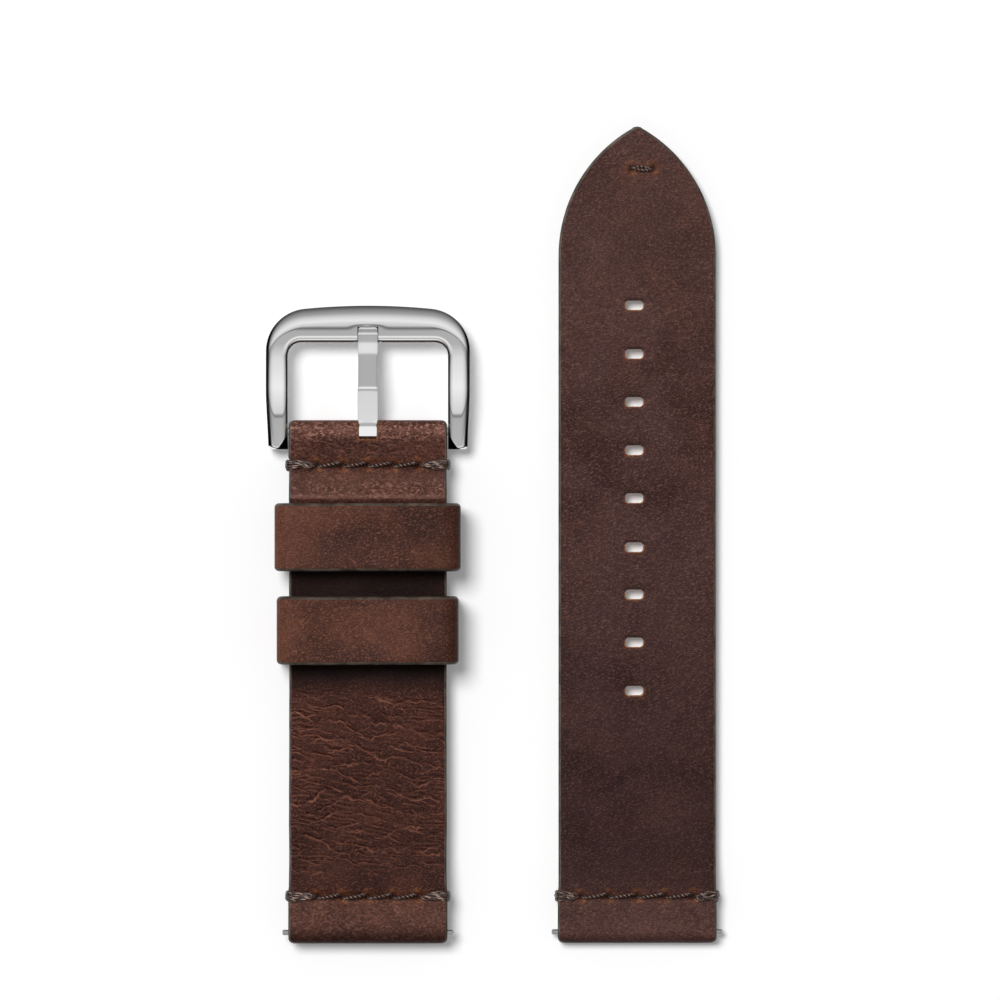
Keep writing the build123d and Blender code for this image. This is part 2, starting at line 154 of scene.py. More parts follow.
def piece_from(bm, name, body, materials, smooth_angle=40):
    """A finished piece: outward faces, smooth shading with kept creases, materials and its body."""
    bmesh.ops.recalc_face_normals(bm, faces=bm.faces)
    for face in bm.faces:
        face.smooth = True
    mesh = bpy.data.meshes.new(name)
    bm.to_mesh(mesh)
    bm.free()
    piece = add_object(name, mesh)
    for material in materials:
        mesh.materials.append(material)
    mesh.set_sharp_from_angle(angle=radians(smooth_angle))
    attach(piece, body)
    return piece


def strap_piece(
    name, body, materials, centre_x, stations, half_width, top, bottom, rims, relief, columns
):
    """A strap layer: a closed skin over its stations along y, with relief(x, y) added to its front."""
    ring = slab_ring(columns, 16)
    rows = []
    for y in stations:
        wide = half_width(y)
        slope = (half_width(y + nudge) - half_width(y - nudge)) / (2 * nudge)
        rows.append((y, wide, sqrt(1 + slope * slope), top(y), bottom(y)))

    def place(column, row):
        across, out, up, level = ring[column]
        y, wide, lean, high, low = rows[row]
        room = (high - low) * 0.45
        top_rim, bottom_rim = min(rims[0], room), min(rims[1], room)
        rim = (top_rim if level > 0.5 else bottom_rim) * lean
        rim = min(rim, 0.7 * wide)
        x = centre_x + across * (wide - rim) + out * rim
        upper = high - top_rim + up * top_rim
        lower = low + bottom_rim - up * bottom_rim
        z = upper * level + lower * (1 - level)
        if level > 0.5:
            z += relief(x - centre_x, y) * level
        return Vector((x, y, z))

    bm = bmesh.new()
    grid_tube(bm, len(ring), len(stations) - 1, place)
    close_ends(bm)
    for face in bm.faces:
        centre = face.calc_center_median()
        edge_x = half_width(centre.y)
        lean = abs(half_width(centre.y + nudge) - half_width(centre.y - nudge)) / (2 * nudge)
        painted = abs(centre.x - centre_x) > edge_x - paint_width * sqrt(1 + lean * lean)
        face.material_index = 1 if painted else 0
    return piece_from(bm, name, body, materials)


def even_steps(start, end, pitch):
    """Values from start to end, about a pitch apart."""
    count = max(1, round(abs(end - start) / pitch))
    return [start + (end - start) * index / count for index in range(count + 1)]


def fold_steps(axis_y, radius, side):
    """Stations along a round fold, closer where it turns down. Side is -1 for the low end."""
    return [axis_y + side * radius * cos(radians(angle)) for angle in (4, 10, 17, 25, 34, 44, 55, 67, 79)]


def blank_material(name):
    """A material with only its output and its shader."""
    material = bpy.data.materials.new(name)
    material.use_nodes = True
    tree = material.node_tree
    shader = tree.nodes["Principled BSDF"]
    return material, tree, shader


def node(tree, kind, inputs=None, **settings):
    """A shader node; each input is a value or another node's output."""
    made = tree.nodes.new("ShaderNode" + kind)
    for key, value in settings.items():
        setattr(made, key, value)
    for key, value in (inputs or {}).items():
        if isinstance(value, bpy.types.NodeSocket):
            tree.links.new(value, made.inputs[key])
        else:
            made.inputs[key].default_value = value
    return made


def vector(tree, operation, first, second):
    """A sum, product or difference of two vectors."""
    return node(tree, "VectorMath", {0: first, 1: second}, operation=operation).outputs[0]


def number(tree, operation, first, second=0.0):
    """A sum, product or other result of two numbers."""
    return node(tree, "Math", {0: first, 1: second}, operation=operation).outputs[0]


def times(tree, first, second):
    """The product of two numbers."""
    return number(tree, "MULTIPLY", first, second)


def fade(tree, value, low, high, start=0.0, end=1.0):
    """Start where the value is at or below low, end where it is at or above high."""
    inputs = {"Value": value, "From Min": low, "From Max": high, "To Min": start, "To Max": end}
    return node(tree, "MapRange", inputs, interpolation_type="SMOOTHSTEP").outputs[0]


def tint(tree, share, first, second):
    """The first colour, covered by the second as far as the share says."""
    made = node(tree, "Mix", {0: share}, data_type="RGBA")
    for index, colour in ((6, first), (7, second)):
        if isinstance(colour, bpy.types.NodeSocket):
            tree.links.new(colour, made.inputs[index])
        else:
            made.inputs[index].default_value = (*colour, 1)
    return made.outputs[2]


def noise_value(tree, place, scale, detail=3.0, roughness=0.55, distortion=0.0):
    """Cloudy values round 0.5 at a scale given in lumps per millimetre."""
    inputs = {"Vector": place, "Scale": scale, "Detail": detail}
    inputs |= {"Roughness": roughness, "Distortion": distortion}
    return node(tree, "TexNoise", inputs).outputs["Fac"]


def stored(tree, name):
    """A value that store() has kept on the piece."""
    return node(tree, "Attribute", attribute_name=name).outputs["Fac"]


def millimetres(tree):
    """The place on the object, in millimetres."""
    return vector(tree, "MULTIPLY", node(tree, "TexCoord").outputs["Object"], (1000, 1000, 1000))


def shove(tree, place, scale, reach):
    """A place pushed aside by slow noise, up to about half of reach each way."""
    push = node(tree, "TexNoise", {"Vector": place, "Scale": scale, "Detail": 3.0}).outputs["Color"]
    push = vector(tree, "SUBTRACT", push, (0.5, 0.5, 0.5))
    return vector(tree, "ADD", place, vector(tree, "MULTIPLY", push, reach))


def crease(tree, place, spacing, slant, stray, seed):
    """Signed distance to the nearest of the wavy creases across the strap, as a share of their spacing."""
    moved = vector(tree, "ADD", place, (seed, seed, seed))
    slow = noise_value(tree, vector(tree, "MULTIPLY", moved, (0.16, 0.2, 0.2)), 1.0, detail=2.0)
    quick = noise_value(tree, moved, 0.55, detail=4.0, roughness=0.6)
    axes = node(tree, "SeparateXYZ", {0: place}).outputs
    shift = times(tree, axes["X"], slant)
    shift = number(tree, "ADD", shift, times(tree, slow, 4.2 * stray))
    shift = number(tree, "ADD", shift, times(tree, quick, 1.3 * stray))
    phase = times(tree, number(tree, "ADD", axes["Y"], shift), 1 / spacing)
    return number(tree, "SUBTRACT", number(tree, "FRACT", phase), 0.5)


def near(tree, value, centre, width):
    """1 where a value lies at the centre, 0 beyond the width."""
    away = number(tree, "ABSOLUTE", number(tree, "SUBTRACT", value, centre))
    return fade(tree, away, 0.0, width, 1.0, 0.0)


def crease_marks(tree, place):
    """Four sets of creases of different spacing and slant: pale ridges that are partly a painted light on
    their lit side, painted shade in the grooves, and their relief.
    """
    slow_patch = noise_value(tree, vector(tree, "MULTIPLY", place, (0.18, 0.42, 0.42)), 1.0, detail=3.0)
    quick_patch = noise_value(tree, vector(tree, "MULTIPLY", place, (0.4, 0.7, 0.7)), 1.0, detail=3.0)
    zone = stored(tree, "creased")
    crease_pale_and_lit = 0.0
    painted_crease_shade = 0.0
    relief = 0.0
    for spacing, slant, stray, seed, patch, strength in (
        (2.3, 0.24, 1.1, 3.0, fade(tree, slow_patch, 0.44, 0.56, 0.2, 1.0), 1.0),
        (1.9, -0.20, 1.2, 9.0, fade(tree, slow_patch, 0.56, 0.44, 0.1, 1.0), 1.0),
        (1.1, 0.32, 0.8, 23.0, fade(tree, quick_patch, 0.46, 0.58), 0.75),
        (0.6, 0.10, 0.5, 17.0, fade(tree, slow_patch, 0.58, 0.42), 0.35),
    ):
        off = crease(tree, place, spacing, slant, stray, seed)
        breaks = noise_value(tree, vector(tree, "ADD", place, (0, seed, 0)), 0.42, detail=2.0)
        patch = times(tree, patch, fade(tree, breaks, 0.40, 0.56, 0.1, 1.0))
        shown = times(tree, times(tree, patch, zone), strength)
        ridge = near(tree, off, -0.14 / spacing, 0.16 / spacing)
        groove = near(tree, off, 0.12 / spacing, 0.30 / spacing)
        crease_pale_and_lit = number(tree, "MAXIMUM", times(tree, ridge, shown), crease_pale_and_lit)
        painted_crease_shade = number(tree, "MAXIMUM", times(tree, groove, shown), painted_crease_shade)
        fold = number(tree, "SUBTRACT", times(tree, ridge, 0.4), groove)
        relief = number(tree, "ADD", times(tree, fold, shown), relief)
    return crease_pale_and_lit, painted_crease_shade, relief


def leather(name, deep, base, warm, fleck, pale, creases, grain, gloss):
    """Pull-up leather: oily cloudy colour, pebbled grain, creases, wrinkles, bends that lighten, and
    painted light and shade.

    Creases give how much they lighten and their depth in millimetres. Grain gives its lumps per
    millimetre across and along the strap, how much it lightens, and its depth.
    """
    material, tree, shader = blank_material(name)
    place = millimetres(tree)
    crease_light, crease_depth = creases
    grain_across, grain_along, grain_light, grain_depth = grain
    crease_pale_and_lit, painted_crease_shade, relief = crease_marks(tree, place)
    crinkle = vector(tree, "MULTIPLY", place, (2.0, 3.0, 3.0))
    crinkle = noise_value(tree, crinkle, 1.0, detail=3.0, distortion=0.8)
    crinkle = times(tree, fade(tree, crinkle, 0.49, 0.62), stored(tree, "wrinkles_and_sheen"))
    relief = number(tree, "ADD", relief, times(tree, crinkle, 0.5))

    cloud = noise_value(tree, place, 0.10, detail=3.0, distortion=0.4)
    colour = tint(tree, fade(tree, cloud, 0.34, 0.64), deep, base)
    bloom = noise_value(tree, place, 0.22, detail=3.0, roughness=0.5)
    colour = tint(tree, fade(tree, bloom, 0.44, 0.74, 0.0, 0.7), colour, warm)
    uneven = fade(tree, noise_value(tree, place, 0.5, detail=3.0), 0.3, 0.7, 0.6, 1.0)
    # Pull-up paleness, which on the buckle's fold, the flap's lip, the keepers' left sides and towards the
    # long half's tip is also painted light.
    colour = tint(tree, times(tree, stored(tree, "pull_up_and_painted_light"), uneven), colour, pale)
    lump_size = (1 / grain_across, 1 / grain_along, 1 / grain_along)
    streaks = {"Vector": place, "Rotation": (0, 0, 0.3), "Scale": lump_size}
    grain_place = node(tree, "Mapping", streaks, vector_type="TEXTURE").outputs["Vector"]
    grain_place = shove(tree, grain_place, 0.4, (1, 1, 1))
    speck = noise_value(tree, grain_place, 1.0, detail=2.0, roughness=0.6)
    dark = tuple(0.4 * part for part in deep)
    colour = tint(tree, fade(tree, speck, 0.26, 0.50, 0.65, 0.0), colour, dark)
    colour = tint(tree, fade(tree, speck, 0.51, 0.70, 0.0, grain_light), colour, fleck)
    # Painted shade in the crease grooves; the pale ridges below are pull-up lightening and partly a painted
    # light on their lit side.
    colour = tint(tree, times(tree, painted_crease_shade, 0.7 * crease_light), colour, dark)
    bright = tuple(1.3 * part for part in fleck)
    colour = tint(tree, times(tree, crease_pale_and_lit, crease_light), colour, bright)
    # Pale ticks on the fine crinkles; over the buckle's fold they are a painted sheen.
    colour = tint(tree, crinkle, colour, tuple(1.8 * part for part in pale))
    # Tan from wear round the seams, the notch, the slots and the tack; along the slots' lower rims it is a
    # painted light.
    rubbed_and_lit = tint(tree, fade(tree, speck, 0.35, 0.65), (0.130, 0.042, 0.019), (0.33, 0.125, 0.052))
    wear_and_light = times(tree, stored(tree, "wear_and_light"), fade(tree, bloom, 0.3, 0.55, 0.55, 1.0))
    colour = tint(tree, wear_and_light, colour, rubbed_and_lit)
    # The stored sunk value is painted shade: near-black in stitch holes, below the stitches, in the
    # keepers' shadow, above slots and where the leather turns under, and lighter darkening on the keepers'
    # right sides and towards the lug ends.
    colour = tint(tree, stored(tree, "sunk"), colour, (0.0035, 0.0007, 0.0005))

    pebble = node(tree, "TexVoronoi", {"Vector": grain_place, "Scale": 0.8}, feature="F1")
    pebble = times(tree, pebble.outputs["Distance"], 0.35)
    lumps = {"Distance": grain_depth * mm, "Height": number(tree, "SUBTRACT", speck, pebble)}
    bump = node(tree, "Bump", lumps).outputs["Normal"]
    folds = {"Distance": crease_depth * mm, "Height": relief, "Normal": bump}
    bump = node(tree, "Bump", folds).outputs["Normal"]
    rough = fade(tree, cloud, 0.3, 0.7, gloss + 0.05, gloss - 0.05)
    for socket, value in (("Base Color", colour), ("Roughness", rough), ("Normal", bump)):
        tree.links.new(value, shader.inputs[socket])
    shader.inputs["Specular IOR Level"].default_value = 0.05
    return material


def coat(material_parts, colour, height, strength, depth, roughness):
    """Joins a colour, bumps of a depth in millimetres and a roughness to a material's shader."""
    material, tree, shader = material_parts
    bump = node(tree, "Bump", {"Strength": strength, "Distance": depth * mm, "Height": height})
    tree.links.new(colour, shader.inputs["Base Color"])
    tree.links.new(bump.outputs["Normal"], shader.inputs["Normal"])
    shader.inputs["Roughness"].default_value = roughness
    return material


def edge_paint():
    """Edge paint: a thin, slightly glossy grey-brown coat, uneven from the brush."""
    parts = blank_material("edge_paint")
    tree = parts[1]
    place = millimetres(tree)
    patch = noise_value(tree, place, 0.5, detail=4.0, roughness=0.6)
    colour = tint(tree, fade(tree, patch, 0.35, 0.65), (0.034, 0.026, 0.019), (0.098, 0.077, 0.059))
    ripple = noise_value(tree, place, 1.6, detail=3.0)
    parts[2].inputs["Specular IOR Level"].default_value = 0.25
    return coat(parts, colour, ripple, 0.6, 0.05, roughness=0.45)


def raw_edge(name, dark, pale):
    """A cut edge left unpainted: fibrous tan leather, more or less stained by handling."""
    parts = blank_material(name)
    tree = parts[1]
    fibre = noise_value(tree, millimetres(tree), 3.0, detail=4.0, roughness=0.7)
    colour = tint(tree, fade(tree, fibre, 0.35, 0.68), dark, pale)
    return coat(parts, colour, fibre, 0.8, 0.06, roughness=0.8)


def prism(bm, outline, x_start, x_end):
    """A closed bar along x with an outline of (y, z) points."""
    corners = [bm.verts.new((x_start, y, z)) for y, z in outline]
    face = bm.faces.new(corners)
    made = bmesh.ops.extrude_face_region(bm, geom=[face])
    far = [item for item in made["geom"] if isinstance(item, bmesh.types.BMVert)]
    bmesh.ops.translate(bm, verts=far, vec=(x_end - x_start, 0, 0))


def carve(piece, bm, material=None):
    """Takes the closed shapes in bm out of a piece; the cut faces get the material."""
    bmesh.ops.recalc_face_normals(bm, faces=bm.faces)
    mesh = bpy.data.meshes.new("cutter")
    bm.to_mesh(mesh)
    bm.free()
    cutter = add_object("cutter", mesh)
    if material is not None:
        mesh.materials.append(material)
    cut = piece.modifiers.new("cut", "BOOLEAN")
    cut.operation = "DIFFERENCE"
    cut.solver = "EXACT"
    cut.material_mode = "TRANSFER" if material is not None else "INDEX"
    cut.object = cutter
    evaluated = piece.evaluated_get(bpy.context.evaluated_depsgraph_get())
    result = bpy.data.meshes.new_from_object(evaluated)
    piece.modifiers.clear()
    result.name = piece.name
    piece.data = result
    bpy.data.objects.remove(cutter)


def carve_bar(piece, outline, low_x, high_x, material):
    """Carves a bar along x with an outline of (y, z) points out of a piece."""
    cutter = bmesh.new()
    prism(cutter, outline, low_x, high_x)
    carve(piece, cutter, material)


def drop_outline(axis_y, axis_z, radius, run):
    """The hollow of a fold: round where the bar lies, drawn to a point where the layers meet."""
    lean = acos(radius / abs(run))
    side = 1 if run > 0 else -1
    turns = [lean + (2 * pi - 2 * lean) * index / 24 for index in range(25)]
    arc = [(axis_y + side * radius * cos(turn), axis_z + radius * sin(turn)) for turn in turns]
    return [(axis_y + run, axis_z), *arc]


short_hole_pitch = 3.5 * mm
stitches = 4
lug_seam_y = short_low.y + 6.6 * mm
buckle_seam_y = short_high.y - 6.2 * mm
short_holes = [short_x + (index - stitches / 2) * short_hole_pitch for index in range(stitches + 1)]


seam_zone = 4 * mm
groove_depth = 0.10 * mm
groove_half = 0.55 * mm
groove_overrun = 3.4 * mm
pit_depth = 0.42 * mm
pit_radius = 0.5 * mm


def seam_relief(x, y, centre_x, seam_y, holes):
    """How the thread draws the leather in: a groove, a pit at each hole, soft pillows between."""
    off = y - seam_y
    if abs(off) > seam_zone:
        return 0
    inside = smooth_step(0, 1.5 * mm, holes[-1] - centre_x + groove_overrun - abs(x))
    relief = -groove_depth * bell(off, groove_half) * inside
    for hole in holes:
        away = x - (hole - centre_x)
        relief -= pit_depth * bell(hypot(away, off * 0.9), pit_radius)
        relief -= 0.05 * mm * bell(away, 0.8 * mm) * bell(off + 0.9 * mm, 0.9 * mm)
    for left, right in zip(holes, holes[1:]):
        away = x - ((left + right) / 2 - centre_x)
        relief += 0.07 * mm * bell(away, 1.1 * mm) * bell(abs(off) - 0.9 * mm, groove_half)
    return relief


def wave(x, y, scale, seed):
    """Slow ups and downs of hand-worked leather, between about -1 and 1."""
    return noise.noise(Vector((x * scale / mm, y * scale / mm, seed)))


def short_relief(x, y):
    """Relief of the short half's front: two seams, soft waves, and the lip where the flap ends."""
    relief = seam_relief(x, y, short_x, lug_seam_y, short_holes)
    relief += seam_relief(x, y, short_x, buckle_seam_y, short_holes)
    relief += hide_swell * wave(x, y, 0.16, 1.7)
    lip_y = step_high_y + 0.12 * mm * wave(x, 0, 0.3, 2.2)
    relief += lip_height * bell(y - lip_y, lip_half)
    return relief


body_narrowing = 0.1 * mm


def rounded_corner(wide, end):
    """A half width, drawn in round the outer corner at an end."""
    if end >= corner_radius:
        return wide
    return wide - corner_radius + half_circle(corner_radius - max(end, 0), corner_radius)


def narrowed(y):
    """How much narrower each side is above the lug's seam."""
    return body_narrowing * smooth_step(lug_seam_y + 0.4 * mm, lug_seam_y + 1.4 * mm, y)


def short_half_width(y):
    """Half width of the short half: narrower between the buckle's arms, with rounded outer corners."""
    at_buckle = smooth_step(narrow_y - narrow_run, narrow_y + narrow_run, y)
    wide = strap_half + (buckle_end_half - strap_half) * at_buckle
    wide += 0.06 * mm * wave(0, y, 0.22, 5.5)
    wide -= narrowed(y) * (y < narrow_y - narrow_run)
    return rounded_corner(rounded_corner(wide, y - short_low.y), short_high.y - y)


def lug_top(y, bar, body):
    """Height of a half's front: round the lug's bar, then falling to the plain strap."""
    if y < bar.y:
        return bar.z + half_circle(bar.y - y, fold_radius)
    low_end = 1 - smooth_step(bar.y + lug_thick_run, bar.y + lug_thick_run + lug_taper_run, y)
    return body + (bar.z + fold_radius - body) * low_end


def short_top(y):
    """Height of the short half's front."""
    if y > buckle_bar.y:
        return buckle_bar.z + half_circle(y - buckle_bar.y, fold_radius)
    if y > step_low_y:
        rise = buckle_bar.z + fold_radius - short_body
        return short_body + rise * smooth_step(step_low_y, step_high_y, y)
    return lug_top(y, lug_bar, short_body)


def short_bottom(y):
    """Height of the short front leather's back: the flaps at both ends reach below the lining's level."""
    if y < lug_bar.y:
        return lug_bar.z - half_circle(lug_bar.y - y, fold_radius)
    if y > buckle_bar.y:
        return buckle_bar.z - half_circle(y - buckle_bar.y, fold_radius)
    return short_layer if lining_low.y < y < lining_high.y else short_base


def show_wear(piece, seams, wear_and_light_by, painted_shade_by, pale_and_lit_by, creased_by, wrinkles_and_sheen_by):
    """Stores where the leather is tan with wear and some painted light, dark with painted shade, pale from
    pull-up and painted light, creased, and crinkled with some painted sheen.
    """
    def wear_and_light_at(x, y, z):
        wear_and_light = wear_and_light_by(x, y)
        for seam_y, holes in seams:
            if abs(y - seam_y) > seam_zone:
                continue
            for hole in holes:
                below = bell(x - hole - 0.3 * mm, 0.42 * mm) * bell(y - seam_y + 0.62 * mm, 0.30 * mm)
                above = bell(x - hole + 0.2 * mm, 0.5 * mm) * bell(y - seam_y - 0.8 * mm, 0.30 * mm)
                around = bell(x - hole, 1.2 * mm) * bell(y - seam_y, 1.1 * mm)
                wear_and_light = max(wear_and_light, below, 0.7 * above, 0.3 * around)
        return wear_and_light

    def painted_shade_at(x, y, z):
        sunk = painted_shade_by(x, y)
        # Painted shade in each stitch hole, and a painted shadow along the seam just below the stitches.
        for seam_y, holes in seams:
            if abs(y - seam_y) > seam_zone:
                continue
            for hole in holes:
                sunk = max(sunk, bell(hypot(x - hole, y - seam_y), 0.42 * mm))
            if holes[0] < x < holes[-1]:
                sunk = max(sunk, 0.75 * bell(y - seam_y + 0.16 * mm, 0.34 * mm))
        return sunk

    store(piece, "wear_and_light", wear_and_light_at)
    store(piece, "sunk", painted_shade_at)
    store(piece, "pull_up_and_painted_light", lambda x, y, z: pale_and_lit_by(x, y))
    store(piece, "creased", lambda x, y, z: creased_by(x, y))
    store(piece, "wrinkles_and_sheen", lambda x, y, z: wrinkles_and_sheen_by(x, y))


body_leather = leather(
    "short_half_leather",
    deep=(0.029, 0.0088, 0.0068),
    base=(0.047, 0.0150, 0.0108),
    warm=(0.072, 0.0230, 0.0150),
    fleck=(0.230, 0.092, 0.060),
    pale=(0.225, 0.110, 0.084),
    creases=(0.85, 0.12),
    grain=(3.2, 6.2, 0.50, 0.09),
    gloss=0.38,
)
paint = edge_paint()
raw = raw_edge("raw_edge", dark=(0.045, 0.018, 0.011), pale=(0.19, 0.085, 0.045))
plain_pitch = 0.4 * mm
flap_pitch = 0.3 * mm
fine_pitch = 0.16 * mm
past_step = 0.3 * mm
seam_reach = 1.6 * mm
past_seam = 1.8 * mm
short_stations = fold_steps(lug_bar.y, fold_radius, -1)
for start, end, pitch in (
    (lug_bar.y, lug_seam_y - past_seam, plain_pitch),
    (lug_seam_y - seam_reach, lug_seam_y + seam_reach, fine_pitch),
    (lug_seam_y + past_seam, step_low_y - past_step, plain_pitch),
    (step_low_y, step_high_y, fine_pitch),
    (step_high_y + past_step, buckle_seam_y - past_seam, flap_pitch),
    (buckle_seam_y - seam_reach, buckle_seam_y + seam_reach, fine_pitch),
    (buckle_seam_y + past_seam, buckle_bar.y, plain_pitch),
):
    short_stations += even_steps(start, end, pitch)
short_stations += reversed(fold_steps(buckle_bar.y, fold_radius, 1))
for flap_y in (lining_low.y, lining_high.y):
    short_stations += [flap_y - nudge, flap_y + nudge]
short_stations.sort()
short_front = strap_piece(
    "short_front_leather_skin",
    "short_strap",
    [body_leather, paint, raw],
    short_x,
    short_stations,
    short_half_width,
    short_top,
    short_bottom,
    (edge_radius, glue_line_radius),
    short_relief,
    64,
)
bore_radius = 0.79 * mm
cavity_run = 2.0 * mm
notch_half = 1.29 * mm
notch_low_y = buckle_bar.y - 1.05 * mm
cut_over = 1.0 * mm
short_sides = (short_x - strap_half - cut_over, short_x + strap_half + cut_over)
for bar, run in ((lug_bar, cavity_run), (buckle_bar, -cavity_run)):
    carve_bar(short_front, drop_outline(bar.y, bar.z, bore_radius, run), *short_sides, raw)
notch_bottom = buckle_bar.z - fold_radius - cut_over
notch_top = buckle_bar.z + fold_radius + cut_over
notch_high_y = buckle_bar.y + fold_radius + cut_over
notch_outline = [
    (notch_low_y, notch_bottom),
    (notch_high_y, notch_bottom),
    (notch_high_y, notch_top),
    (notch_low_y, notch_top),
]
eye_room = 1.36 * mm
turns = [2 * pi * index / 48 for index in range(48)]
eye_outline = [(buckle_bar.y + eye_room * cos(turn), buckle_bar.z + eye_room * sin(turn)) for turn in turns]
for outline in (notch_outline, eye_outline):
    carve_bar(short_front, outline, short_x - notch_half, short_x + notch_half, raw)


def short_worn(x, y):
    """Rubbed tan round the tongue's notch."""
    if y < notch_low_y - 1 * mm:
        return 0
    beside = max(abs(x - short_x) - notch_half, 0)
    return 0.8 * bell(hypot(beside, max(notch_low_y - y, 0)), 0.26 * mm)


def short_pale_and_lit(x, y):
    """Paler on the flap, where the buckle pulls the fold, and near the lug; a painted highlight lies along
    the flap's lip and over the fold's top.
    """
    flap = smooth_step(step_high_y - 0.9 * mm, step_high_y, y)
    flap *= 1 - smooth_step(0, 1.3 * mm, y - buckle_seam_y + 1.6 * mm)
    # Painted highlights: a line along the flap's lip, and a band over the top of the buckle's fold, which
    # the buckle also pulls pale.
    lip = bell(y - step_high_y - 0.15 * mm, 0.3 * mm)
    fold = bell(y - buckle_bar.y - 0.2 * mm, 0.9 * mm) * (0.55 + 0.5 * wave(x, 0, 0.35, 4.4))
    lug = 1 - smooth_step(lug_seam_y - 1.0 * mm, lug_seam_y, y)
    return max(0.3 * flap, lip, fold, 0.25 * lug * smooth_step(short_low.y, short_low.y + 3.5 * mm, y))


def short_creased(x, y):
    """Creased between the keepers and the lug's seam, most at the left edge, and a little over the fold."""
    body = smooth_step(lug_seam_y + 1.5 * mm, lug_seam_y + 5 * mm, y)
    body *= smooth_step(0, 4 * mm, sliding_low.y - 2.1 * mm - y)
    fold = 0.5 * smooth_step(buckle_seam_y + 1.0 * mm, buckle_seam_y + 2.0 * mm, y)
    return max(body * (0.7 + 0.3 * smooth_step(2 * mm, 9 * mm, short_x - x)), fold)


def short_wrinkles_and_sheen(x, y):
    """Fine crinkles where it turns round the bars and on the flap; over the buckle's fold they carry a
    painted sheen.
    """
    lug = 0.25 * bell(y - short_low.y - 2.2 * mm, 1.4 * mm)
    sheen = bell(y - buckle_bar.y - 0.2 * mm, 1.3 * mm) * smooth_step(-0.6, 0.1, wave(x, y, 0.3, 3.7))
    flap = 0.5 * bell(y - step_high_y - 1.2 * mm, 1.6 * mm)
    seam = 0.12 * smooth_step(step_high_y, step_high_y + 0.5 * mm, y)
    return max(lug, 0.2 * (y < lug_seam_y), sheen, flap, seam)


keeper_overhang = 0.7 * mm


def short_painted_shade(x, y):
    """Painted shade: the keepers' shadow between them and below the lower one, and shade where the leather
    turns under at the lug end; also darker towards the lug end.
    """
    gap_low = sliding_high.y - keeper_overhang
    gap_shadow = smooth_step(0, 0.8 * mm, y - gap_low) * (1 - smooth_step(0, 0.5 * mm, y - fixed_low.y))
    below = 1 - smooth_step(0, 4.6 * mm, sliding_low.y - keeper_overhang - y) if y < gap_low else 0
    low_end = 1 - smooth_step(lug_seam_y, lug_seam_y + 24 * mm, y)
    low_end *= smooth_step(0, 1 * mm, y - lug_seam_y)
    under = bell(y - short_low.y - 0.4 * mm, 1.6 * mm)
    return max(0.85 * gap_shadow, 0.95 * below, 0.16 * low_end, 0.6 * under)


short_seams = [(lug_seam_y, short_holes), (buckle_seam_y, short_holes)]
show_wear(short_front, short_seams, short_worn, short_painted_shade, short_pale_and_lit, short_creased, short_wrinkles_and_sheen)
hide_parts("short_front_leather")

# Lining of the short half: smooth calf glued to the back of the front leather, from the lug fold to
# the flap. Its rim is turned down a little with the same edge paint.
lining_leather = leather(
    "lining_leather",
    deep=(0.090, 0.048, 0.030),
    base=(0.150, 0.085, 0.055),
    warm=(0.175, 0.095, 0.055),
    fleck=(0.240, 0.150, 0.100),
    pale=(0.20, 0.12, 0.08),
    creases=(0.0, 0.0),
    grain=(3.2, 3.6, 0.25, 0.04),
    gloss=0.62,
)


lining_pitch = 0.8 * mm


def no_relief(x, y):
    """A back that lies flat."""
    return 0


short_lining = strap_piece(
    "short_lining_skin",
    "short_strap",
    [lining_leather, paint],
    short_x,
    even_steps(lining_low.y + nudge, lining_high.y - nudge, lining_pitch),
    short_half_width,
    lambda y: short_layer,
    lambda y: short_base,
    (glue_line_radius, edge_radius),
    no_relief,
    24,
)
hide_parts("short_lining")

# Saddle stitching of the short half: waxed two-ply linen thread. Each seam has four slanted stitches
# and is closed at both edges by a bunch of turns that pass round the side of the strap.
thread_ply_radius = 0.17 * mm
thread_twist = 1.1 * mm
thread_pitch = 0.11 * mm
wrap_ply_radius = 0.15 * mm
stitch_lean = 0.19 * mm
stitch_jitter = 0.06 * mm
wrap_spread = 0.95 * mm
wrap_wander = 0.45 * mm
back_groove = 0.42 * mm


def smooth_path(points, pitch):
    """Points about a pitch apart on a smooth line through the given ones."""
    ends = [points[0] * 2 - points[1], *points, points[-1] * 2 - points[-2]]
    path = []
    for before, start, end, after in zip(ends, ends[1:], ends[2:], ends[3:]):
        count = max(2, round((end - start).length / pitch))
        for index in range(count):
            t = index / count
            bend = (before * 2 - start * 5 + end * 4 - after) * t * t
            bend += (start * 3 - before - end * 3 + after) * t * t * t
            path.append((start * 2 + (end - before) * t + bend) / 2)
    return [*path, points[-1]]


